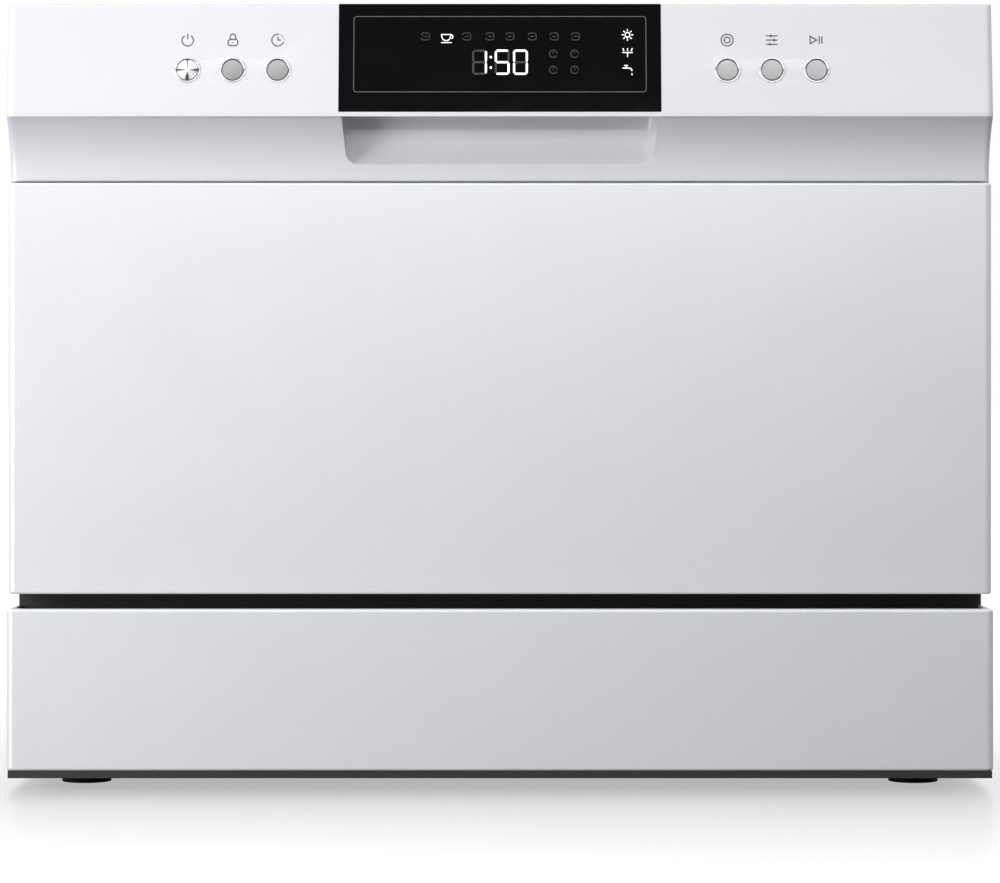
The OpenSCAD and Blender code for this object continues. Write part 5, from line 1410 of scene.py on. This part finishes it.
class DISHWASHER_OT_wash(bpy.types.Operator):
    """The spray arm, its nut and the filter. One half of the arm is the hull of three circles: in direction n
    its edge is the point c + r n of the circle with the largest c.n + r; the other half is turned by 180."""

    bl_idname = "dishwasher.wash"
    bl_label = "Spray arm and filter"

    def execute(self, context):
        low, high = span("spray_arm")
        centre = np.array([0, (low[1] + high[1]) / 2, 0])
        floor = span("tub_floor")[1][2]
        base = floor + 7
        circles = np.array(ARM_CIRCLES)
        t = np.radians(np.arange(-90, 91, 3))
        n = np.stack([np.cos(t), np.sin(t)], 1)
        far = (n @ circles[:, :2].T + circles[:, 2]).argmax(1)
        half = circles[far, :2] + circles[far, 2:] * n
        outline = np.concatenate([half, -half])
        levels = ((5.5, 0), (2.2, 0.7), (0.6, 2.4), (0, 5), (0.4, 8), (1.6, 10.4), (4, 12.2), (8, 13.2),
                  (10.5, 13.5))
        rings = np.stack([at_height(inset(outline, d * 0.98), base + h) for d, h in levels])
        hub = rounded([[9.4, floor + 2.6], [14, floor + 2.6], [14, floor + 19], [15.5, floor + 21],
                       [12, floor + 22], [9.4, floor + 22]], 0.7, 3)
        forms = [loft(rings + centre), revolve(hub, centre, Z, 48, True)]
        nozzle = rounded([[POLE, 2.3], [2.6, 2.3], [5, 0.6], [5.6, -1], [POLE, -1]], 0.8, 3)
        # Each jet's opening is a thin dark plate of painted shade on its nozzle
        jet = plate(rectangle((-0.8, -2), (0.8, 2), 0.7, 3), 2.2, 2.36)
        places = [centre + [side * r, side * 3, base + 12.4] for side in (1, -1) for r in NOZZLES]
        forms += [revolve(nozzle, where, Z, 28) for where in places]
        stand_in("arm", forms, "spray_arm")
        fitted("arm_jet_shade", [moved(jet, where, LEVEL) for where in places], "spray_arm", "painted_opening_shade")
        self.filter(floor)
        return {"FINISHED"}

    def filter(self, floor):
        """The dished filter plate with its perforations, drawn as thin dark discs of painted shade, and the
        filter cylinder with its handle.
        """
        low, high = span("filter_plate")
        centre = np.array([(low[0] + high[0]) / 2, (low[1] + high[1]) / 2, 0])
        r = (high[0] - low[0]) / 2
        profile = rounded([[39.2, floor - 4.8], [39.2, floor - 3.6], [43, floor - 3.6], [r - 6, floor + 0.8],
                           [r, floor + 0.8], [r, floor + 0.1], [r - 6, floor], [43, floor - 4.6]], 0.5, 3)
        stand_in("filter_sheet", [revolve(profile, centre, Z, 72, True)], "filter_plate")
        t, ring = np.meshgrid(np.arange(72) * np.pi / 36, np.arange(4))
        reach = 46.5 + 5.2 * ring
        angle = t + ring * np.pi / 72
        drop = floor - 3.1 + (reach - 43) * 4.4 / (r - 49)
        where = np.stack([reach * np.cos(angle), reach * np.sin(angle), drop + 0.35], -1).reshape(-1, 3)
        # Each hole is a thin dark disc of painted shade on the plate
        hole = plate(circle((0, 0), 1.15, 10), -0.4, 0.15)
        holes = [moved(hole, p, LEVEL) for p in where + centre]
        fitted("filter_hole_shade", holes, "filter_plate", "painted_opening_shade")
        low, high = span("filter_cylinder")
        r = (high[0] - low[0]) / 2
        top = floor - 4
        sleeve = rounded([[r - 7.5, top - 0.5], [r - 7.5, top + 2.4], [r, top + 2.4], [r, top], [r - 4, top],
                          [r - 4, low[2]], [POLE, low[2]], [POLE, low[2] + 2], [r - 6, low[2] + 2],
                          [r - 6, top - 0.5]], 0.5, 3)
        bar = block(centre + [-r + 5, -4, top - 5], centre + [r - 5, 4, top + 2.2], 1.2, 3)
        grip = block(centre + [-11, -2, top + 1], centre + [11, 2, top + 7], 1.1, 1.9)
        stand_in("fine_filter", [revolve(sleeve, centre, Z, 64, True), bar, grip], "filter_cylinder")


class DISHWASHER_OT_seals(bpy.types.Operator):
    """The door seal: a flat foot, a neck and a round lip, all carried round the tub's mouth, and a strip at
    the sill."""

    bl_idname = "dishwasher.seals"
    bl_label = "Seals"

    def execute(self, context):
        low, high = span("door_seals")
        frame_front = span("front_frame")[0][1]
        x, top, foot = high[0] - 4, high[2] - 4, low[2] + 6
        path = rounded([[x, foot], [x, top], [-x, top], [-x, foot]], 25, 14)
        base = moved(ribbon(path, 7.8, 0, 3), (0, frame_front, 0), FRONT)
        lip = tube(at_depth(path, low[1] + 3.75), 3.7, Y, 14)
        neck = moved(ribbon(path, 3, 2.5, 5), (0, frame_front, 0), FRONT)
        strip = block((3 - x, low[1] + 0.6, foot - 4.5), (x - 3, frame_front - 0.2, foot - 0.6), 0.9)
        stand_in("seal", [base, lip, neck, strip], "door_seals")
        return {"FINISHED"}


class DISHWASHER_OT_fittings(bpy.types.Operator):
    """The fittings on the back: the inlet with its valve's coil and its screen, and the drain's ridges. The
    inlet's thread is a helix: its radius falls by half the depth times
    1 + cos 2 pi (y / pitch - a / 2 pi)."""

    bl_idname = "dishwasher.fittings"
    bl_label = "Rear fittings"

    def execute(self, context):
        rear = span("rear_cover")[1][1]
        low, high = span("inlet_valve")
        r, end, pitch, depth = 13.2, high[1], 1.9, 0.9
        x, z, back = low[0] + 31, low[2] + 16, low[1] + 26
        y = np.concatenate([[back - 1], np.linspace(rear, end, 61)])[:, None]
        a = (np.arange(48) * np.pi / 24)[None]
        fade = np.clip((end - y) / 1.5, 0, 1) * np.clip((y - rear - 0.5) / 1.5, 0, 1)
        radius = r - (1 - fade) * 0.6 - fade * depth / 2 * (1 + np.cos(2 * np.pi * (y / pitch) - a))
        skin = np.stack([x + radius * np.cos(a), y + 0 * radius, z + radius * np.sin(a)], -1)
        mouth = np.stack([at_depth(circle((x, z), q, 48), end - d)
                          for q, d in ((12.2, 0.0), (9.8, 0.0), (9.2, 0.6), (9.2, 14.0))])
        coil = rounded([[POLE, 0], [11, 0], [11, 3], [9.4, 3.6], [9.4, 17.4], [11, 18], [11, 22], [POLE, 22]],
                       0.6, 3)
        stub = rounded([[POLE, 20], [6, 20], [6, 29.5], [5.2, 31], [POLE, 31]], 0.5, 3)
        body = block((x - 25, low[1], z - 16), (x + 25, back, z + 16), 1.4, 3)
        stand_in("inlet_body", [loft(np.concatenate([skin, mouth])), body,
                                revolve(coil, (x, back - 13, z + 16), Z, 40),
                                revolve(stub, (x, back - 13, z), -X, 32)], "inlet_valve")
        screen = moved(plate(circle((x, z), 9.3, 32), -end + 9, -end + 9.4), (0, 0, 0), FRONT)
        fitted("inlet_screen", [screen], "inlet_valve", "stainless")
        spout = (-x, 0, z + 33)
        ridges = [revolve([[9.3, rear + h], [9.9, rear + h + 0.4], [9.3, rear + h + 2.6]], spout, Y, 40, True)
                  for h in (2.5, 5.6, 8.7)]
        fitted("drain_ridges", ridges, "drain_hose", "grey_moulding")
        return {"FINISHED"}


class DISHWASHER_OT_stage(bpy.types.Operator):
    """Floor, room light, four area lights and the camera."""

    bl_idname = "dishwasher.stage"
    bl_label = "Stage"

    def execute(self, context):
        self.floor()
        self.room(context.scene)
        self.lights()
        self.camera(context.scene)
        return {"FINISHED"}

    def floor(self):
        """A plain dark floor with painted light and a painted shadow: an emission which only the camera sees
        lightens it with the distance from the feet, rising with the length of max(|p| - half plan, 0), three
        times as fast sideways, so that near the object it is painted darker as a soft shadow. Light that
        bounces off the floor meets the tone BOUNCE in place of its colour."""
        s = sizes("stage")
        f = plain("floor", s.floor, 0.30, 2.0, 0.02)
        beyond = f.chain("ShaderNodeVectorMath", f.coordinates,
                         (("ABSOLUTE", None), ("SUBTRACT", HALF_PLAN), ("MAXIMUM", (0, 0, 0)),
                          ("MULTIPLY", (3, 1, 1)), ("LENGTH", None)))
        # Painted shadow: the emission is 0.46 of its strength up to 0.04 m beyond the object's plan, full
        # from 0.66 m
        glow = f.ramp(beyond, 0.46 * s.glow, s.glow, 0.04, 0.66)
        seen = f.nodes.new("ShaderNodeMath")
        seen.operation = "MULTIPLY"
        path = f.nodes.new("ShaderNodeLightPath")
        f.links.new(glow, seen.inputs[0])
        f.links.new(path.outputs["Is Camera Ray"], seen.inputs[1])
        tone = f.nodes.new("ShaderNodeMix")
        tone.data_type = "RGBA"
        tone.inputs[MIX_A].default_value, tone.inputs[MIX_B].default_value = (*BOUNCE, 1), (*s.floor, 1)
        f.links.new(path.outputs["Is Camera Ray"], tone.inputs[0])
        f.links.new(tone.outputs[MIX_OUT], f.shader.inputs["Base Color"])
        f.set("Emission Color", (1, 1, 1, 1))
        f.links.new(seen.outputs[0], f.shader.inputs["Emission Strength"])
        mesh = bpy.data.meshes.new("floor")
        h = FLOOR_HALF
        mesh.from_pydata([(-h, -h, 0), (h, -h, 0), (h, h, 0), (-h, h, 0)], [], [(0, 1, 2, 3)])
        mesh.materials.append(f.material)
        obj = bpy.data.objects.new("floor", mesh)
        bpy.context.scene.collection.objects.link(obj)

    def room(self, scene):
        """A white room, seen as white by the camera. Its light rises from front to back with the
        direction's Y."""
        s = sizes("stage")
        world = bpy.data.worlds.new("room")
        scene.world = world
        world.use_nodes = True
        nodes, links = world.node_tree.nodes, world.node_tree.links
        back = nodes["Background"]
        way = nodes.new("ShaderNodeTexCoord")
        split = nodes.new("ShaderNodeSeparateXYZ")
        level = nodes.new("ShaderNodeMapRange")
        for key, value in zip(MAP_KEYS, (-0.65, 0.05, s.sky, s.back)):
            level.inputs[key].default_value = value
        path = nodes.new("ShaderNodeLightPath")
        seen = nodes.new("ShaderNodeMix")
        seen.inputs["B"].default_value = 1.0
        links.new(way.outputs["Generated"], split.inputs[0])
        links.new(split.outputs[1], level.inputs["Value"])
        links.new(level.outputs[0], seen.inputs["A"])
        links.new(path.outputs["Is Camera Ray"], seen.inputs[0])
        links.new(seen.outputs[0], back.inputs["Strength"])
        back.inputs["Color"].default_value = (1, 1, 1, 1)

    def lights(self):
        """A strip over the front, lights at the left and the upper right, and a low one before the pocket."""
        s = sizes("stage")
        aim = (0.0, -0.25, 0.25)
        for name, power, where, size in (("top", s.top, (-0.1, -0.6, 0.85), (1.2, 0.3)),
                                         ("key", s.key, (-0.9, -0.9, 0.35), (0.6, 0.6)),
                                         ("fill", s.fill, (0.9, -1.0, 0.9), (0.6, 0.6)),
                                         ("front", s.front, (0.08, -1.15, 0.6), (0.9, 0.2))):
            data = bpy.data.lights.new(name, "AREA")
            data.shape, data.energy = "RECTANGLE", power
            data.size, data.size_y = size
            lamp = bpy.data.objects.new(name, data)
            lamp.location = where
            lamp.rotation_euler = (Vector(where) - Vector(aim)).to_track_quat("Z", "Y").to_euler()
            bpy.context.scene.collection.objects.link(lamp)

    def camera(self, scene):
        """A level camera before the lip, shifted to the photograph's framing."""
        s = sizes("stage")
        data = bpy.data.cameras.new("camera")
        data.lens, data.sensor_width = s.lens, 36
        data.shift_x, data.shift_y = SHIFT
        cam = bpy.data.objects.new("camera", data)
        cam.location = (0, CAD_BOX[0][1] - s.distance, s.height)
        cam.rotation_euler = (math.pi / 2, 0, 0)
        scene.collection.objects.link(cam)
        scene.camera = cam
        scene.view_settings.view_transform = "Standard"


GROUPS = {"front": DISHWASHER_PG_front, "inside": DISHWASHER_PG_inside, "colours": DISHWASHER_PG_colours,
          "stage": DISHWASHER_PG_stage}
OPERATORS = (DISHWASHER_OT_finishes, DISHWASHER_OT_control_panel, DISHWASHER_OT_finger_pocket,
             DISHWASHER_OT_display, DISHWASHER_OT_buttons, DISHWASHER_OT_door_panel, DISHWASHER_OT_skirt,
             DISHWASHER_OT_cabinet, DISHWASHER_OT_tub, DISHWASHER_OT_door_liner, DISHWASHER_OT_dispenser,
             DISHWASHER_OT_rack, DISHWASHER_OT_basket, DISHWASHER_OT_rails, DISHWASHER_OT_wash,
             DISHWASHER_OT_seals, DISHWASHER_OT_fittings, DISHWASHER_OT_stage)


class DISHWASHER_PT_panel(bpy.types.Panel):
    """Lists the operators and the sizes in the sidebar."""

    bl_idname = "DISHWASHER_PT_panel"
    bl_label = "Dishwasher"
    bl_space_type = "VIEW_3D"
    bl_region_type = "UI"
    bl_category = "Dishwasher"

    def draw(self, context):
        for name, group in GROUPS.items():
            for field in group.__annotations__:
                self.layout.prop(getattr(context.scene, "dishwasher_" + name), field)
        for operator in OPERATORS:
            self.layout.operator(operator.bl_idname)


def register():
    for cls in (*GROUPS.values(), *OPERATORS, DISHWASHER_PT_panel):
        bpy.utils.register_class(cls)
    for name, group in GROUPS.items():
        setattr(bpy.types.Scene, "dishwasher_" + name, PointerProperty(type=group))


def unregister():
    for name in GROUPS:
        delattr(bpy.types.Scene, "dishwasher_" + name)
    for cls in (DISHWASHER_PT_panel, *reversed(OPERATORS), *GROUPS.values()):
        bpy.utils.unregister_class(cls)


def main():
    """Registers the add-on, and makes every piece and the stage."""
    register()
    for operator in OPERATORS:
        group, name = operator.bl_idname.split(".")
        getattr(getattr(bpy.ops, group), name)()


if __name__ == "__main__":
    main()
